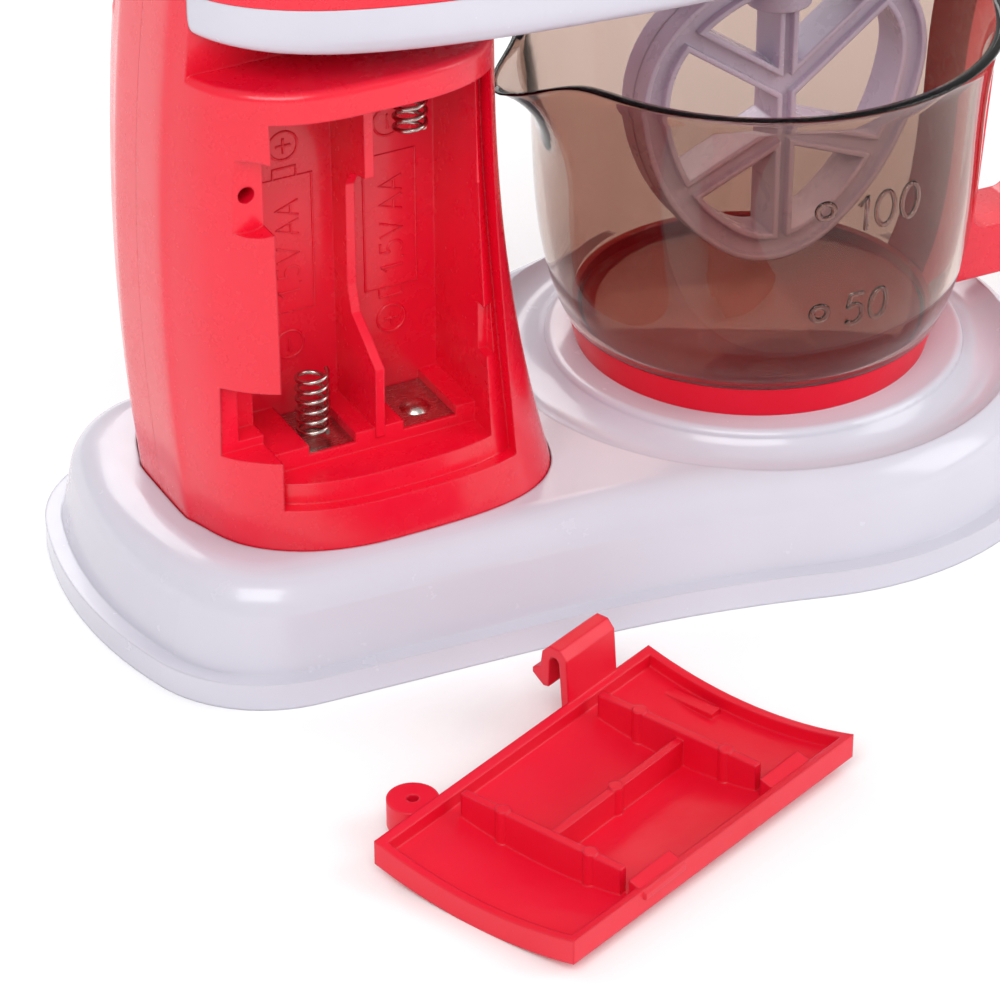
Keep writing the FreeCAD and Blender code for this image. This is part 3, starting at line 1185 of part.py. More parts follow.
def make_jug():
    wall = number("jug_wall")
    foot = number(JUG_FOOT)
    rim = number("jug_rim_level")
    ring_top = number("ring_top_level")
    spigot = Part.makeCylinder(number(SPIGOT_RADIUS), ring_top - foot, Vector(0, 0, foot))
    outer = jug_outer().fuse([spout_form(0.0), spigot])
    inner = jug_form(wall, number("jug_floor_level"),
                     number(SPIGOT_RADIUS) - 2 * wall).fuse(spout_form(wall))
    # the lip dips towards the spout
    reach = number("spout_reach")
    root = number("jug_rim_radius") - 6
    dip = prism([(-reach - 5, rim - number("spout_dip") * 1.6), (-root, rim), (-root, rim + 20),
                 (-reach - 5, rim + 20)],
                80, "xz", -40)
    above = Part.makeBox(200, 200, 40, Vector(-100, -100, rim))
    body = outer.cut(inner).cut(above).cut(dip)
    jug = form("jug_made", body)
    bind(jug, "Placement.Base.x", JUG_X)
    jug.Placement = Placement(Vector(number(JUG_X), 0, 0), Rotation(Vector(0, 0, 1), -number("jug_turn")))
    bind(jug, "Placement.Base.x", JUG_X)
    piece(jug, "jug_body")

    cone = doc.addObject("Part::Cone", "ring_cone")
    bind(cone, "Radius1", "ring_radius - ring_taper")
    bind(cone, "Radius2", "ring_radius")
    bind(cone, "Height", "ring_top_level - seat_height")
    bind(cone, "Placement.Base.x", JUG_X)
    bind(cone, "Placement.Base.z", "seat_height")
    hollow = cylinder("ring_hollow", f"{SPIGOT_RADIUS} + fit_gap", "ring_top_level", JUG_X, "0", JUG_FOOT)
    recess = cylinder("ring_recess", "pilot_boss_radius + jug_offset + pilot_gap",
                      "pilot_boss_height + pilot_gap",
                      JUG_X, "0", "seat_height")
    piece(cut("ring_made", cone, hollow, recess), "jug_base_ring")

    # D-shaped handle; its strap hugs the wall
    width = number("handle_width")
    bottom = number("handle_bottom")
    top = number("handle_top")
    far = number("handle_reach")
    grip = number("grip_thickness")
    strap = number("strap_thickness")
    start = 20.0

    def rounded(points, radius):
        face = Part.Face(Part.makePolygon(points + points[:1]))
        return face.makeOffset2D(-radius).makeOffset2D(radius)

    outline = rounded([Vector(start, 0, bottom), Vector(far - 7, 0, bottom), Vector(far, 0, bottom + 14),
                       Vector(far + 1, 0, top - 10), Vector(far - 4, 0, top), Vector(start, 0, top)], 4)
    inner_x = number("jug_waist_radius") + strap
    window = rounded([Vector(inner_x - 1.5, 0, bottom + 9), Vector(far - grip - 3, 0, bottom + 9),
                      Vector(far - grip, 0, bottom + 18), Vector(far - grip + 0.5, 0, top - 11),
                      Vector(inner_x + 1, 0, top - 8)], 2.5)
    slab = outline.cut(window).extrude(Vector(0, width, 0))
    slab.translate(Vector(0, -width / 2, 0))
    gap = number("fit_gap")
    foot_clear = Part.makeCylinder(number("jug_foot_radius") + gap, number("ring_top_level"))
    trim = slab.cut([jug_outer(gap), foot_clear])
    keep = [solid for solid in trim.Solids if solid.BoundBox.XMax > far - 2]
    handle = form("handle_made", keep[0])
    handle.Placement = Placement(Vector(number(JUG_X), 0, 0), Rotation(Vector(0, 0, 1), -number("jug_turn")))
    bind(handle, "Placement.Base.x", JUG_X)
    piece(handle, "jug_handle")


# ---------------------------------------------------------------- battery cover

def make_cover():
    """Bowed panel, lying with its inner side up; local X runs across it and local Y towards its lower end."""
    length = number(COVER_LENGTH)
    wide_low = number("cover_bottom_width - 2 * cover_gap")
    wide_high = number("cover_top_width - 2 * cover_gap")
    left = -(wide_low + wide_high) / 4
    radius = number("cover_radius")
    thick = number("cover_thickness")
    rim = number("cover_rim")
    rib = number("rib_thickness")

    def outline(inset):
        return [(left + inset, -length / 2 + inset), (left + wide_high - inset, -length / 2 + inset),
                (left + wide_low - inset, length / 2 - inset), (left + inset, length / 2 - inset)]

    def bow(depth):
        """Everything above the bowed surface that lies depth over the panel's outer face."""
        return Part.makeCylinder(radius - depth, 2 * length, Vector(0, -length, radius), Vector(0, 1, 0))

    blank_height = 12
    edge_wall = 1.4
    block = prism(outline(0), blank_height)
    panel = block.common(bow(0)).cut(bow(thick))
    edge = block.cut(prism(outline(edge_wall), blank_height)).common(bow(0)).cut(bow(thick + rim))
    rib_top = 7.4
    rib_ends = 7
    rib_start = 3.2
    spine_drop = 1.2
    peg_radius = 1.1
    peg_reach = 7.8
    peg_rise = 0.3
    middle_peg_drop = 0.9
    station = number("rib_station")
    parts = [edge]
    for sign in (-1, 1):
        cross = Part.makeBox(wide_high - rib_ends, rib, rib_top,
                             Vector(left + rib_start, sign * station - rib / 2, 0))
        parts.append(cross.common(bow(thick / 2)))
        for x in (-peg_reach, peg_reach):
            peg = Part.makeCylinder(peg_radius, rib_top + peg_rise, Vector(x, sign * station, 0))
            parts.append(peg.common(bow(thick / 2)))
    spine = Part.makeBox(rib, 2 * station, rib_top - spine_drop, Vector(-rib / 2, -station, 0))
    parts.append(spine.common(bow(thick / 2)))
    middle_peg = Part.makeCylinder(peg_radius, rib_top - middle_peg_drop, Vector(0, 0, 0))
    parts.append(middle_peg.common(bow(thick / 2)))
    # snap tabs on the right edge
    right = left + wide_high
    tab_root = right - 2.2
    tab_tip = right + 0.9
    tab_length = 9
    for station_y in (-12.0, 18.5):
        tab = prism([(tab_root, 3.5), (tab_tip, 4.6), (tab_tip, 5.6), (tab_root, 6.6)],
                    tab_length, "xz", station_y - tab_length / 2)
        parts.append(tab)
    # finger slot near the lower end
    slot_length = 9.5
    slot_width = 2.2
    slot_depth = 2.8
    slot_corner = Vector(-12.5, length / 2 - 4.6, 0)
    slot_wall = Part.makeBox(slot_length, slot_width, slot_depth, slot_corner).common(bow(thick / 2))
    # screw ear and snap hook on the left edge
    ear_y = -(number("ear_height") - (number("cover_top") + number("cover_bottom")) / 2)
    ear_x = left - number("ear_reach")
    ear_thickness = 4.4
    ear_base = 1.6
    bridge_lap = 1.2
    bridge_inset = 0.5
    bridge_thickness = 3.4
    cover_hole_radius = 0.9
    ear = Part.makeCylinder(number("ear_radius"), ear_thickness, Vector(ear_x, ear_y, ear_base))
    bridge = Part.makeBox(number("ear_reach") + bridge_lap, 2 * (number("ear_radius") - bridge_inset),
                          bridge_thickness,
                          Vector(ear_x, ear_y - number("ear_radius") + bridge_inset, ear_base))
    ear_hole = Part.makeCylinder(cover_hole_radius, blank_height, Vector(ear_x, ear_y, 0))
    hook_y = (number("cover_top") + number("cover_bottom")) / 2 - number("hook_height")
    hook_play = 0.6
    hook = number("hook_width") - hook_play
    # a springy U: up from the edge, over, and down to a barb
    arm = prism([(left + 1.4, 1.6), (left + 1.4, 4.0), (left + 0.4, 5.0), (left - 0.2, 13.4),
                 (left - 1.4, 14.8),
                 (left - 3.4, 14.8), (left - 4.6, 13.6), (left - 5.0, 10.8), (left - 6.4, 10.0),
                 (left - 6.4, 9.2),
                 (left - 4.4, 7.6), (left - 3.4, 7.8), (left - 3.3, 12.4), (left - 2.8, 13.2),
                 (left - 2.0, 13.2),
                 (left - 1.5, 12.6), (left - 0.9, 4.6), (left - 0.9, 1.6)], hook, "xz", hook_y - hook / 2)
    solid = panel.fuse(parts + [slot_wall, ear, bridge, arm]).cut(ear_hole).removeSplitter()
    cover = form("cover_made", solid)
    cover.Placement = Placement(Vector(), Rotation(Vector(0, 0, 1), -number("cover_turn")))
    bind(cover, "Placement.Base.x", "-cover_centre_x")
    bind(cover, "Placement.Base.y", "-cover_centre_y")
    piece(cover, "battery_cover")


# ---------------------------------------------------------------- build and write

make_base()
make_column()
make_contacts()
make_head()
make_drive()
make_beater()
make_jug()
make_cover()
doc.recompute()

faults = [f"{obj.Name}: {obj.State}" for obj in doc.Objects if {"Invalid", "Error"} & set(obj.State)]
for obj in PIECES:
    if obj.Shape.isNull() or not obj.Shape.isValid() or not obj.Shape.Solids:
        faults.append(f"{obj.Label}: no valid shape")
if faults:
    raise SystemExit("\n".join(faults))

os.makedirs("parts", exist_ok=True)
for obj in PIECES:
    obj.Shape.exportStep(f"parts/{obj.Label}.step")
    print(f"{obj.Label:24s} {len(obj.Shape.Solids):2d} solids {obj.Shape.Volume:10.1f} mm3")
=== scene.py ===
"""Looks of the toy stand mixer: materials, dressed pieces, studio and camera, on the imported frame.

Metres, in the part's own frame: +X runs from the battery column to the jug, -Y faces the viewer, +Z up.
"""
import json
import math

import bmesh
import bpy
from mathutils import Matrix, Vector


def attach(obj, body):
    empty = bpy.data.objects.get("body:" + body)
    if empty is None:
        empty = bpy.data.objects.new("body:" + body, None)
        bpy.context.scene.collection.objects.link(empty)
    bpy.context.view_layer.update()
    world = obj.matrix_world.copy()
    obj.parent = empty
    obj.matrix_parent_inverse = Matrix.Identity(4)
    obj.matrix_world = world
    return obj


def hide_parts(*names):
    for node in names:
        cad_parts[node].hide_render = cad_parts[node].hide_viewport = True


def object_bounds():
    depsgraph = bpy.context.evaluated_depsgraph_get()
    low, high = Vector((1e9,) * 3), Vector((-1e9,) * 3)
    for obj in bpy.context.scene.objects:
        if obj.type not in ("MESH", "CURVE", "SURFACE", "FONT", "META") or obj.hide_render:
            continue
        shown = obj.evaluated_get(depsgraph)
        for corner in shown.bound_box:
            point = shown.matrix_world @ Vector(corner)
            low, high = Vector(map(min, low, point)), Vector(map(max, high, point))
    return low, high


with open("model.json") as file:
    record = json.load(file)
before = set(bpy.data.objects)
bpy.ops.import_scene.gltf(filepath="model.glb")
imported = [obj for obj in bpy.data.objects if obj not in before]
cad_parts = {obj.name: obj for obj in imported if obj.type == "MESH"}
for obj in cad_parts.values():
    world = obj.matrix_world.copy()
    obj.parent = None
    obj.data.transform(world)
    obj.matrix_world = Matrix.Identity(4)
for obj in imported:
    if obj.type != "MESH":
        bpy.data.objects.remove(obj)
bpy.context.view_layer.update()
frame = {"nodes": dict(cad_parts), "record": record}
scene = bpy.context.scene


# ---------------------------------------------------------------- node helpers

def new_material(name, **constants):
    """Material with one principled shader; constants go straight on its sockets."""
    material = bpy.data.materials.new(name)
    material.use_nodes = True
    shader = material.node_tree.nodes["Principled BSDF"]
    for socket, value in constants.items():
        shader.inputs[socket.replace("_", " ")].default_value = value
    return material, material.node_tree, shader


def node(tree, kind, links=(), **settings):
    """Shader node with its attributes set; links maps its input sockets to other sockets or to values."""
    made = tree.nodes.new(kind)
    for key, value in settings.items():
        setattr(made, key, value)
    for socket, source in dict(links).items():
        if hasattr(source, "is_output"):
            tree.links.new(source, made.inputs[socket])
        else:
            made.inputs[socket].default_value = source
    return made


def noise(tree, scale, detail=2.0, roughness=0.5, coords=None, stretch=None):
    """Noise over the piece's own coordinates; stretch scales them per axis."""
    if coords is None:
        coords = node(tree, "ShaderNodeTexCoord").outputs["Object"]
    if stretch is not None:
        coords = node(tree, "ShaderNodeMapping", {"Vector": coords, "Scale": stretch}).outputs["Vector"]
    return node(tree, "ShaderNodeTexNoise", {"Vector": coords, "Scale": scale, "Detail": detail,
                                             "Roughness": roughness}).outputs["Fac"]


def spread(tree, source, low, high, start=0.0, end=1.0):
    """Maps source from start..end to low..high."""
    limits = {"From Min": start, "From Max": end, "To Min": low, "To Max": high}
    return node(tree, "ShaderNodeMapRange", {"Value": source, **limits}).outputs["Result"]


def shade(tree, factor, low, high):
    """Colour between low and high by factor."""
    ramp = node(tree, "ShaderNodeValToRGB", {"Fac": factor})
    ramp.color_ramp.elements[0].color = (*low, 1)
    ramp.color_ramp.elements[1].color = (*high, 1)
    return ramp.outputs["Color"]


def soft_edges(tree, radius):
    """Normal that rounds the piece's edges over the given radius, as a mould does."""
    return node(tree, "ShaderNodeBevel", {"Radius": radius}, samples=EDGE_SAMPLES).outputs["Normal"]


def bump(tree, shader, height, distance, strength=1.0, under=None):
    """Relief of the given depth on the shader; under is the normal of a coarser relief below it."""
    links = {"Height": height, "Distance": distance, "Strength": strength}
    if under is not None:
        links["Normal"] = under
    made = node(tree, "ShaderNodeBump", links)
    tree.links.new(made.outputs["Normal"], shader.inputs["Normal"])
    return made.outputs["Normal"]


# ---------------------------------------------------------------- materials

# noise scales, in features per metre
MELT_SCALE, RUB_SCALE, FLOW_SCALE, GRAIN_SCALE = 22, 160, 45, 2600
SMOKE_SCALE, HAZE_SCALE, WALL_WAVE_SCALE = 18, 220, 26
EDGE_SAMPLES = 6
WALL_WAVE = 0.000012
DRAWN_DEPTH = 0.00001
SMOKY_IOR = 1.34
SMOKE_DRIFT = 0.96


def moulded(name, low, high, roughness=(0.16, 0.26), edge=0.0004, flow=0.00004, grain=0.000003, **constants):
    """Moulded plastic: colour drifts slightly with the melt; soft edges, a faint flow ripple, skin grain."""
    material, tree, shader = new_material(name, **constants)
    coords = node(tree, "ShaderNodeTexCoord").outputs["Object"]
    drift = noise(tree, MELT_SCALE, 3, 0.6, coords)
    tree.links.new(shade(tree, spread(tree, drift, 0, 1, 0.3, 0.7), low, high), shader.inputs["Base Color"])
    rub = noise(tree, RUB_SCALE, 4, 0.65, coords)
    tree.links.new(spread(tree, rub, *roughness, 0.35, 0.7), shader.inputs["Roughness"])
    ripple = noise(tree, FLOW_SCALE, 1, 0.4, coords)
    wave = bump(tree, shader, ripple, flow, 1.0, soft_edges(tree, edge))
    bump(tree, shader, noise(tree, GRAIN_SCALE, 2, 0.5, coords), grain, 0.5, wave)
    return material


def smoky(name, tint):
    """Thin clear plastic with a smoke tint and very slight ripples; lamps shine through it."""
    material, tree, shader = new_material(name, IOR=SMOKY_IOR, Transmission_Weight=1.0)
    coords = node(tree, "ShaderNodeTexCoord").outputs["Object"]
    drift = noise(tree, SMOKE_SCALE, 2, 0.5, coords)
    low = tuple(c * SMOKE_DRIFT for c in tint)
    tree.links.new(shade(tree, drift, low, tint), shader.inputs["Base Color"])
    haze = noise(tree, HAZE_SCALE, 4, 0.6, coords)
    tree.links.new(spread(tree, haze, 0.01, 0.03, 0.4, 0.7), shader.inputs["Roughness"])
    bump(tree, shader, noise(tree, WALL_WAVE_SCALE, 1, 0.4, coords), WALL_WAVE)
    face = tuple(math.sqrt(c) for c in tint)
    clear = node(tree, "ShaderNodeBsdfTransparent", {"Color": (*face, 1)})
    lamp_ray = node(tree, "ShaderNodeLightPath").outputs["Is Shadow Ray"]
    both = node(tree, "ShaderNodeMixShader", {0: lamp_ray, 1: shader.outputs[0], 2: clear.outputs[0]})
    tree.links.new(both.outputs[0], tree.nodes["Material Output"].inputs["Surface"])
    return material


def metal(name, low, high, roughness=(0.2, 0.35), stretch=(1, 1, 1), scale=400):
    """Bare or plated metal with fine drawing marks along one axis."""
    material, tree, shader = new_material(name, Metallic=1.0)
    coords = node(tree, "ShaderNodeTexCoord").outputs["Object"]
    marks = noise(tree, scale, 4, 0.7, coords, stretch)
    tree.links.new(shade(tree, spread(tree, marks, 0, 1, 0.3, 0.7), low, high), shader.inputs["Base Color"])
    tree.links.new(spread(tree, marks, *roughness), shader.inputs["Roughness"])
    bump(tree, shader, marks, DRAWN_DEPTH)
    return material


# two colours that each finish drifts between, then its range of roughness and its edge radius in metres
MATERIALS = {
    "red_plastic": moulded("red_plastic", (0.72, 0.002, 0.020), (0.79, 0.004, 0.031), (0.22, 0.32),
                           Coat_Weight=0.25, Coat_Roughness=0.10),
    "cover_plastic": moulded("cover_plastic", (0.70, 0.002, 0.021), (0.77, 0.004, 0.031), (0.34, 0.46),
                             0.0005),
    "white_plastic": moulded("white_plastic", (0.55, 0.535, 0.61), (0.59, 0.575, 0.65), (0.18, 0.28), 0.0006,
                             Coat_Weight=0.25, Coat_Roughness=0.08),
    "beater_plastic": moulded("beater_plastic", (0.50, 0.42, 0.52), (0.58, 0.49, 0.60), (0.24, 0.36), 0.0006,
                              Subsurface_Weight=0.25, Subsurface_Radius=(0.003, 0.002, 0.0026),
                              Subsurface_Scale=1.0),
    "jug_plastic": smoky("jug_plastic", (0.57, 0.43, 0.37)),
    "gear_plastic": moulded("gear_plastic", (0.72, 0.70, 0.62), (0.78, 0.76, 0.69), (0.28, 0.4), 0.0002),
    "black_plastic": moulded("black_plastic", (0.018, 0.018, 0.020), (0.03, 0.03, 0.033), (0.3, 0.45)),
    "nickel_plate": metal("nickel_plate", (0.40, 0.36, 0.33), (0.62, 0.57, 0.53), (0.18, 0.34), (1, 8, 8)),
    "spring_wire": metal("spring_wire", (0.34, 0.31, 0.29), (0.56, 0.52, 0.48), (0.16, 0.28)),
    "screw_steel": metal("screw_steel", (0.45, 0.45, 0.46), (0.62, 0.62, 0.63), (0.25, 0.4)),
    "pin_steel": metal("pin_steel", (0.55, 0.55, 0.56), (0.7, 0.7, 0.71), (0.2, 0.3), (8, 1, 8)),
    "motor_steel": metal("motor_steel", (0.40, 0.40, 0.41), (0.56, 0.56, 0.57), (0.3, 0.42), (1, 1, 6)),
    "bush_brass": metal("bush_brass", (0.56, 0.41, 0.17), (0.72, 0.55, 0.26), (0.25, 0.38)),
}
MARKS_TINT = smoky("jug_marks", (0.84, 0.76, 0.72))
DISH_RED = moulded("dish_red", (0.70, 0.002, 0.018), (0.77, 0.004, 0.028), (0.34, 0.44),
                   Specular_IOR_Level=0.2)


# ---------------------------------------------------------------- pieces

def paint(obj, slot):
    """Finishes a CAD node as its slot; the ring under the jug is a duller red."""
    obj.data.materials.clear()
    obj.data.materials.append(DISH_RED if obj is frame["nodes"]["jug_base_ring"] else MATERIALS[slot])


def node_slots():
    """Slot of each CAD node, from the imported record."""
    return {entry["node"]: entry["material_slot"] for entry in frame["record"]["subparts"]}


def make_piece(name, shape, body, slot, material=None, smooth=True):
    """Object from a bmesh, riding on body and finished as slot."""
    mesh = bpy.data.meshes.new(name)
    bmesh.ops.recalc_face_normals(shape, faces=shape.faces)
    shape.to_mesh(mesh)
    shape.free()
    for face in mesh.polygons:
        face.use_smooth = smooth
    obj = bpy.data.objects.new(name, mesh)
    scene.collection.objects.link(obj)
    mesh.materials.append(material or MATERIALS[slot])
    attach(obj, body)
    return obj


# ---------------------------------------------------------------- raised marks

def arc(cx, cy, rx, ry, start, end, steps=14):
    """Points of an ellipse's arc, angles in degrees."""
    angles = [math.radians(start + (end - start) * step / steps) for step in range(steps + 1)]
    return [(cx + rx * math.cos(a), cy + ry * math.sin(a)) for a in angles]


def ring(cx, cy, rx, ry, steps=28):
    """Points of a whole ellipse."""
    return arc(cx, cy, rx, ry, 0, 360, steps)


# strokes of each character in a cell of height 1, with the step to the next character
GLYPHS = {
    "0": ([ring(0.30, 0.5, 0.28, 0.5)], 0.80),
    "1": ([[(0.08, 0.74), (0.30, 1.0), (0.30, 0.0)]], 0.58),
    "5": ([[(0.54, 1.0), (0.14, 1.0), (0.08, 0.56)] + arc(0.28, 0.33, 0.28, 0.33, 135, -140)], 0.80),
    "A": ([[(0.0, 0.0), (0.34, 1.0), (0.68, 0.0)], [(0.13, 0.34), (0.55, 0.34)]], 0.86),
    "V": ([[(0.0, 1.0), (0.34, 0.0), (0.68, 1.0)]], 0.90),
    ".": ([[(0.04, 0.0), (0.10, 0.0)]], 0.28),
}


# section of a raised line: across its width and up its height, both as shares
LINE_SECTION = [(-0.5, -0.5), (-0.5, 0.2), (-0.3, 0.8), (0.0, 1.0), (0.3, 0.8), (0.5, 0.2), (0.5, -0.5)]


def stroke(shape, path, width, height, place):
    """Half-round raised line along path; place(u, v, h) gives the point at height h over the surface."""
    closed = math.dist(path[0], path[-1]) < 1e-9
    points = path[:-1] if closed else path
    count = len(points)
    loops = []
    for index, (u, v) in enumerate(points):
        before = points[index - 1] if closed or index else points[0]
        after = points[(index + 1) % count] if closed or index < count - 1 else points[-1]
        run_u, run_v = after[0] - before[0], after[1] - before[1]
        reach = math.hypot(run_u, run_v) or 1.0
        side_u, side_v = -run_v / reach, run_u / reach
        loops.append([shape.verts.new(place(u + side_u * width * across, v + side_v * width * across,
                                            height * rise))
                      for across, rise in LINE_SECTION])
    pairs = list(zip(loops, loops[1:])) + ([(loops[-1], loops[0])] if closed else [])
    for first, second in pairs:
        size = len(first)
        for k in range(size):
            shape.faces.new((first[k], first[(k + 1) % size], second[(k + 1) % size], second[k]))
    if not closed:
        shape.faces.new(loops[0])
        shape.faces.new(list(reversed(loops[-1])))


def write(shape, text, start, base, size, width, height, place):
    """Raised characters of the given size from start along u, on v = base; returns where they end."""
    pen = start
    for letter in text:
        strokes, advance = GLYPHS[letter]
        for path in strokes:
            stroke(shape, [(pen + u * size, base + v * size) for u, v in path], width, height, place)
        pen += advance * size
    return pen


# ---------------------------------------------------------------- jug

JUG_X = 0.0335                          # the jug's axis
JUG_TURN = math.radians(178.0)          # where the spout points, about the jug's axis
JUG_WALL = 0.0015
JUG_STEPS = 192                         # points round it
JUG_ROWS = 26                           # rows up its side
RIM = 0.0762
SIDE_START = 0.0270
LIP_DEPTH = 0.0011                      # from the rim down to where the lip's rounding starts
SPOUT_START, SPOUT_REACH, SPOUT_DIP, SPOUT_SPREAD = 0.052, 0.0081, 0.0036, math.radians(10.5)
FLARE_POWER, DIP_POWER = 2.4, 3         # how the spout's flare and dip grow towards the rim
# outside from the foot's middle to the side, and inside from the side to the floor's middle: radius, height
JUG_FOOT = [(0.0, 0.02315), (0.0262, 0.02315), (0.0278, 0.02325), (0.02842, 0.0238), (0.02845, 0.02562),
            (0.0300, 0.02562), (0.0305, 0.0260)]
JUG_FLOOR = [(0.0281, 0.0257), (0.0268, 0.0247), (0.0252, 0.0243), (0.0, 0.0242)]
# outer radius of the side: height, radius
JUG_SIDE = [(0.0256, 0.0304), (0.0270, 0.03104), (0.0285, 0.03166), (0.0300, 0.0322), (0.0330, 0.0331),
            (0.0360, 0.0338), (0.0400, 0.03447), (0.0440, 0.03491), (0.0480, 0.0352), (0.0520, 0.03539),
            (0.0560, 0.03555), (0.0600, 0.03572), (0.0640, 0.03597), (0.0680, 0.03636), (0.0720, 0.03696),
            (0.0762, 0.0379)]


def side_radius(z):
    """Outer radius of the jug's side at height z."""
    z = min(max(z, JUG_SIDE[0][0]), JUG_SIDE[-1][0])
    for (z0, r0), (z1, r1) in zip(JUG_SIDE, JUG_SIDE[1:]):
        if z <= z1:
            return r0 + (r1 - r0) * (z - z0) / (z1 - z0)


def on_jug(radius, z, angle):
    """Point of the jug's wall, with the spout's flare and the dip of its lip."""
    off = (angle - JUG_TURN + math.pi) % (2 * math.pi) - math.pi
    bulge = math.exp(-(off / SPOUT_SPREAD) ** 2)
    climb = min(max((z - SPOUT_START) / (RIM - SPOUT_START), 0.0), 1.0)
    radius += SPOUT_REACH * bulge * climb ** FLARE_POWER
    z -= SPOUT_DIP * bulge * climb ** DIP_POWER
    return Vector((JUG_X + radius * math.cos(angle), radius * math.sin(angle), z))


def make_jug():
    """The clear jug as one closed wall: up the outside, over the rim, down the inside, with its spout."""
    levels = [SIDE_START + (RIM - LIP_DEPTH - SIDE_START) * step / JUG_ROWS for step in range(JUG_ROWS + 1)]
    lip = side_radius(RIM) + 0.0001
    profile = JUG_FOOT + [(side_radius(z), z) for z in levels]
    profile += [(lip + 0.0003, RIM - 0.0005), (lip + 0.0001, RIM - 0.0001), (lip - 0.0007, RIM),
                (lip - 0.0015, RIM - 0.0001), (lip - JUG_WALL - 0.0001, RIM - 0.0005)]
    profile += [(side_radius(z) - JUG_WALL, z) for z in reversed(levels)] + JUG_FLOOR
    shape = bmesh.new()
    rows = []
    for radius, z in profile:
        if radius == 0.0:
            rows.append([shape.verts.new((JUG_X, 0, z))])
        else:
            rows.append([shape.verts.new(on_jug(radius, z, 2 * math.pi * k / JUG_STEPS))
                         for k in range(JUG_STEPS)])
    for low, high in zip(rows, rows[1:]):
        for k in range(JUG_STEPS):
            following = (k + 1) % JUG_STEPS
            corners = [low[k % len(low)], low[following % len(low)],
                       high[following % len(high)], high[k % len(high)]]
            shape.faces.new(list(dict.fromkeys(corners)))
    jug = make_piece("jug_clear_body", shape, "jug", "jug_plastic")
    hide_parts("jug_body")


MARKS_RADIUS = 0.0355                   # the wall's radius where the marks stand
# text, angle of its start about the jug's axis, height of its foot, size
JUG_MARKS = (("100", -96, 0.0551, 0.0058), ("50", -97, 0.0384, 0.0054))
MARK_WIDTH, MARK_HEIGHT = 0.0008, 0.00045
LEVEL_ANGLE = -104
LEVEL_HEIGHTS = (0.0413, 0.0594)
LEVEL_RADIUS, LEVEL_WIDTH, LEVEL_RISE = 0.0013, 0.0010, 0.0003


def make_jug_marks():
    """Raised 50 and 100, each with its level ring, on the near side."""

    def place(u, v, h):
        angle = u / MARKS_RADIUS
        return on_jug(side_radius(v) + h, v, angle)

    shape = bmesh.new()
    for text, angle, base, size in JUG_MARKS:
        write(shape, text, math.radians(angle) * MARKS_RADIUS, base, size, MARK_WIDTH, MARK_HEIGHT, place)
    for level in LEVEL_HEIGHTS:
        circle = ring(math.radians(LEVEL_ANGLE) * MARKS_RADIUS, level, LEVEL_RADIUS, LEVEL_RADIUS)
        stroke(shape, circle, LEVEL_WIDTH, LEVEL_RISE, place)
    make_piece("jug_level_marks", shape, "jug", "jug_plastic", MARKS_TINT)


# ---------------------------------------------------------------- battery bay's marks

BAY_BACK = -0.0064
# middle of each cell, its upper pole and its lower pole
CELLS = ((-0.0514, "+", "-"), (-0.0344, "-", "+"))
CELL_LEFT, CELL_RIGHT = 0.0042, 0.0044
CELL_LOW, CELL_HIGH = 0.0485, 0.0710
NIB_HALF_WIDTH, NIB_LENGTH = 0.0019, 0.0016
POLE_HIGH, POLE_LOW = 0.0762, 0.0430
POLE_RADIUS, SIGN_REACH = 0.0023, 0.0012
TEXT_START, TEXT_SIZE, TEXT_GAP, TEXT_OFFSET = 0.0508, 0.0037, 0.0010, 0.0021
BAY_LINE, BAY_RELIEF = 0.00042, 0.00022


def make_bay_marks():
    """Cell outlines, poles and sizes moulded on the bay's back wall; the writing runs upwards."""
    shape = bmesh.new()

    def flat(u, v, h):
        return Vector((u, BAY_BACK - h, v))

    def line(path):
        stroke(shape, path, BAY_LINE, BAY_RELIEF, flat)

    for centre, upper, lower in CELLS:
        left, right = centre - CELL_LEFT, centre + CELL_RIGHT
        line([(left, CELL_LOW), (right, CELL_LOW), (right, CELL_HIGH), (left, CELL_HIGH), (left, CELL_LOW)])
        cap = CELL_HIGH if upper == "+" else CELL_LOW
        out = NIB_LENGTH if upper == "+" else -NIB_LENGTH
        near, far = centre - NIB_HALF_WIDTH, centre + NIB_HALF_WIDTH
        line([(near, cap), (near, cap + out), (far, cap + out), (far, cap)])
        for pole, level in ((upper, POLE_HIGH), (lower, POLE_LOW)):
            line(ring(centre, level, POLE_RADIUS, POLE_RADIUS))
            line([(centre, level - SIGN_REACH), (centre, level + SIGN_REACH)])
            if pole == "+":
                line([(centre - SIGN_REACH, level), (centre + SIGN_REACH, level)])

        def upright(u, v, h, base=centre + TEXT_OFFSET):
            return Vector((base - v, BAY_BACK - h, u))

        pen = write(shape, "1.5V", TEXT_START, 0.0, TEXT_SIZE, BAY_LINE, BAY_RELIEF, upright)
        write(shape, "AA", pen + TEXT_GAP, 0.0, TEXT_SIZE, BAY_LINE, BAY_RELIEF, upright)
    make_piece("bay_marks", shape, "stand", "red_plastic", smooth=False)


# ---------------------------------------------------------------- beater's parting line

BEATER_HALF_THICKNESS = 0.0036
HUB_LOW = 0.0885                        # the beater's hub starts over this height
HUB_FLAT = 0.08                         # a level run over this height crosses the hub and carries no line
LINE_HALF_WIDTH, LINE_ROOT, LINE_RISE = 0.0003, 0.0002, 0.00018


def hull_outline(points):
    """Corners of the convex hull of points in a plane, in order."""
    hull = []
    for direction in (1, -1):
        chain = []
        for point in sorted(points)[::direction]:
            while len(chain) > 1 and ((chain[-1][0] - chain[-2][0]) * (point[1] - chain[-2][1])
                                      <= (chain[-1][1] - chain[-2][1]) * (point[0] - chain[-2][0])):
                chain.pop()
            chain.append(point)
        hull += chain[:-1]
    return hull


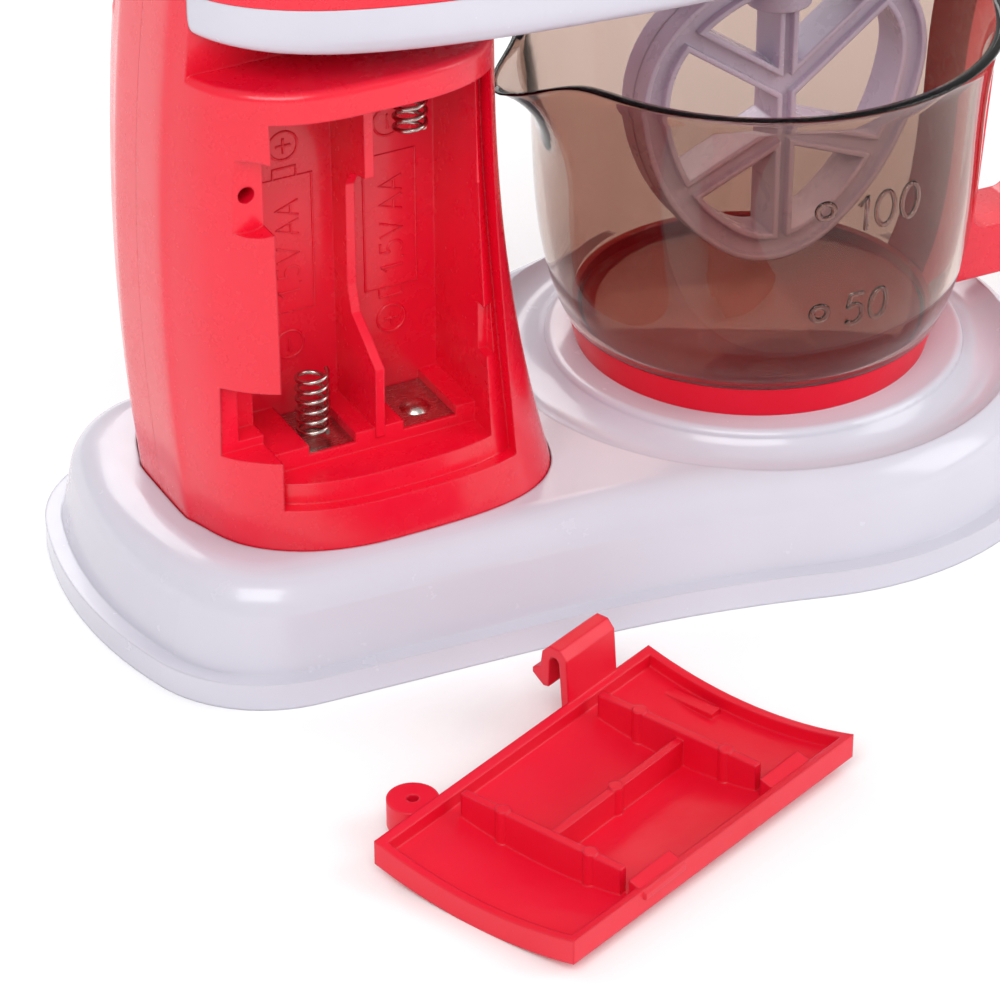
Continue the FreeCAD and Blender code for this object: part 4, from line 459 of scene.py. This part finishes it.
def make_parting_line():
    """Fine line where the beater's mould halves met, round the outer edge at mid-thickness."""
    hull = hull_outline({(round(v.co.x, 5), round(v.co.z, 5)) for v in frame["nodes"]["beater"].data.vertices
                         if abs(v.co.y) < BEATER_HALF_THICKNESS and v.co.z < HUB_LOW})
    shape = bmesh.new()
    middle_x = sum(x for x, z in hull) / len(hull)
    middle_z = sum(z for x, z in hull) / len(hull)
    section = ((-LINE_HALF_WIDTH, -LINE_ROOT), (0.0, LINE_RISE), (LINE_HALF_WIDTH, -LINE_ROOT))
    loops = []
    for x, z in hull:
        out = Vector((x - middle_x, 0, z - middle_z)).normalized()
        base = Vector((x, 0, z))
        loops.append([shape.verts.new(base + out * rise + Vector((0, across, 0)))
                      for across, rise in section])
    for first, second in zip(loops, loops[1:] + loops[:1]):
        if abs(first[1].co.z - second[1].co.z) < 1e-6 and first[1].co.z > HUB_FLAT:
            continue
        for k in range(3):
            shape.faces.new((first[k], first[(k + 1) % 3], second[(k + 1) % 3], second[k]))
    make_piece("beater_parting_line", shape, "drive_out", "beater_plastic")


# ---------------------------------------------------------------- studio

FLOOR_HALF = 6.0
FLOOR_GAP = 0.00005                     # the floor lies this far under the part
WORLD_STRENGTH = 0.60
AIM = (0, -0.02, 0.05)
# place, size and power of each lamp
LAMPS = {
    "key": ((-0.55, -0.75, 0.95), (0.9, 0.7), 9.5),
    "fill": ((0.85, -0.6, 0.6), (0.6, 0.9), 5),
    "back": ((0.1, 0.95, 0.8), (1.2, 0.5), 7),
}


def soft_box(name, place, size, power):
    """Rectangular lamp that faces the part."""
    light = bpy.data.lights.new(name, "AREA")
    light.shape = "RECTANGLE"
    light.size, light.size_y = size
    light.energy = power
    lamp = bpy.data.objects.new(name, light)
    scene.collection.objects.link(lamp)
    lamp.location = place
    lamp.rotation_euler = (Vector(AIM) - Vector(place)).to_track_quat("-Z", "Y").to_euler()


def make_studio():
    """Pale paper floor, white surroundings and soft lamps."""
    mesh = bpy.data.meshes.new("floor")
    shape = bmesh.new()
    bmesh.ops.create_grid(shape, x_segments=2, y_segments=2, size=FLOOR_HALF)
    shape.to_mesh(mesh)
    shape.free()
    floor = bpy.data.objects.new("floor", mesh)
    scene.collection.objects.link(floor)
    floor.location.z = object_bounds()[0].z - FLOOR_GAP
    material, tree, shader = new_material("floor_paper", Roughness=0.8)
    grain = noise(tree, 900, 3)
    tree.links.new(shade(tree, grain, (0.93, 0.93, 0.935), (0.95, 0.95, 0.955)), shader.inputs["Base Color"])
    mesh.materials.append(material)

    world = bpy.data.worlds.new("studio")
    world.use_nodes = True
    background = world.node_tree.nodes["Background"]
    background.inputs["Color"].default_value = (1, 1, 1, 1)
    background.inputs["Strength"].default_value = WORLD_STRENGTH
    scene.world = world
    for name, (place, size, power) in LAMPS.items():
        soft_box(name, place, size, power)


# ---------------------------------------------------------------- camera

CAMERA_PLACE = (-0.2729, -0.4952, 0.3493)
CAMERA_AZIMUTH = math.radians(-27.74)
CAMERA_ELEVATION = math.radians(31.95)
CAMERA_ROLL = math.radians(-0.243)
LENS, SENSOR = 147.9, 36.0


def make_camera():
    """The photograph's viewpoint, from the camera's right, up and back directions in the part's frame."""
    data = bpy.data.cameras.new("camera")
    data.sensor_width = SENSOR
    data.lens = LENS
    data.clip_start, data.clip_end = 0.01, 20
    camera = bpy.data.objects.new("camera", data)
    scene.collection.objects.link(camera)
    back = Vector((math.sin(CAMERA_AZIMUTH) * math.cos(CAMERA_ELEVATION),
                   -math.cos(CAMERA_AZIMUTH) * math.cos(CAMERA_ELEVATION), math.sin(CAMERA_ELEVATION)))
    level = Vector((0, 0, 1)).cross(back).normalized()
    rise = back.cross(level)
    right = level * math.cos(CAMERA_ROLL) + rise * math.sin(CAMERA_ROLL)
    up = rise * math.cos(CAMERA_ROLL) - level * math.sin(CAMERA_ROLL)
    turn = Matrix((right, up, back)).transposed()
    camera.matrix_world = Matrix.Translation(CAMERA_PLACE) @ turn.to_4x4()
    scene.camera = camera


# ---------------------------------------------------------------- build

scene.view_settings.view_transform = "Standard"
slots = node_slots()
for name, obj in frame["nodes"].items():
    paint(obj, slots[name])
make_jug()
make_jug_marks()
make_bay_marks()
make_parting_line()
make_studio()
make_camera()
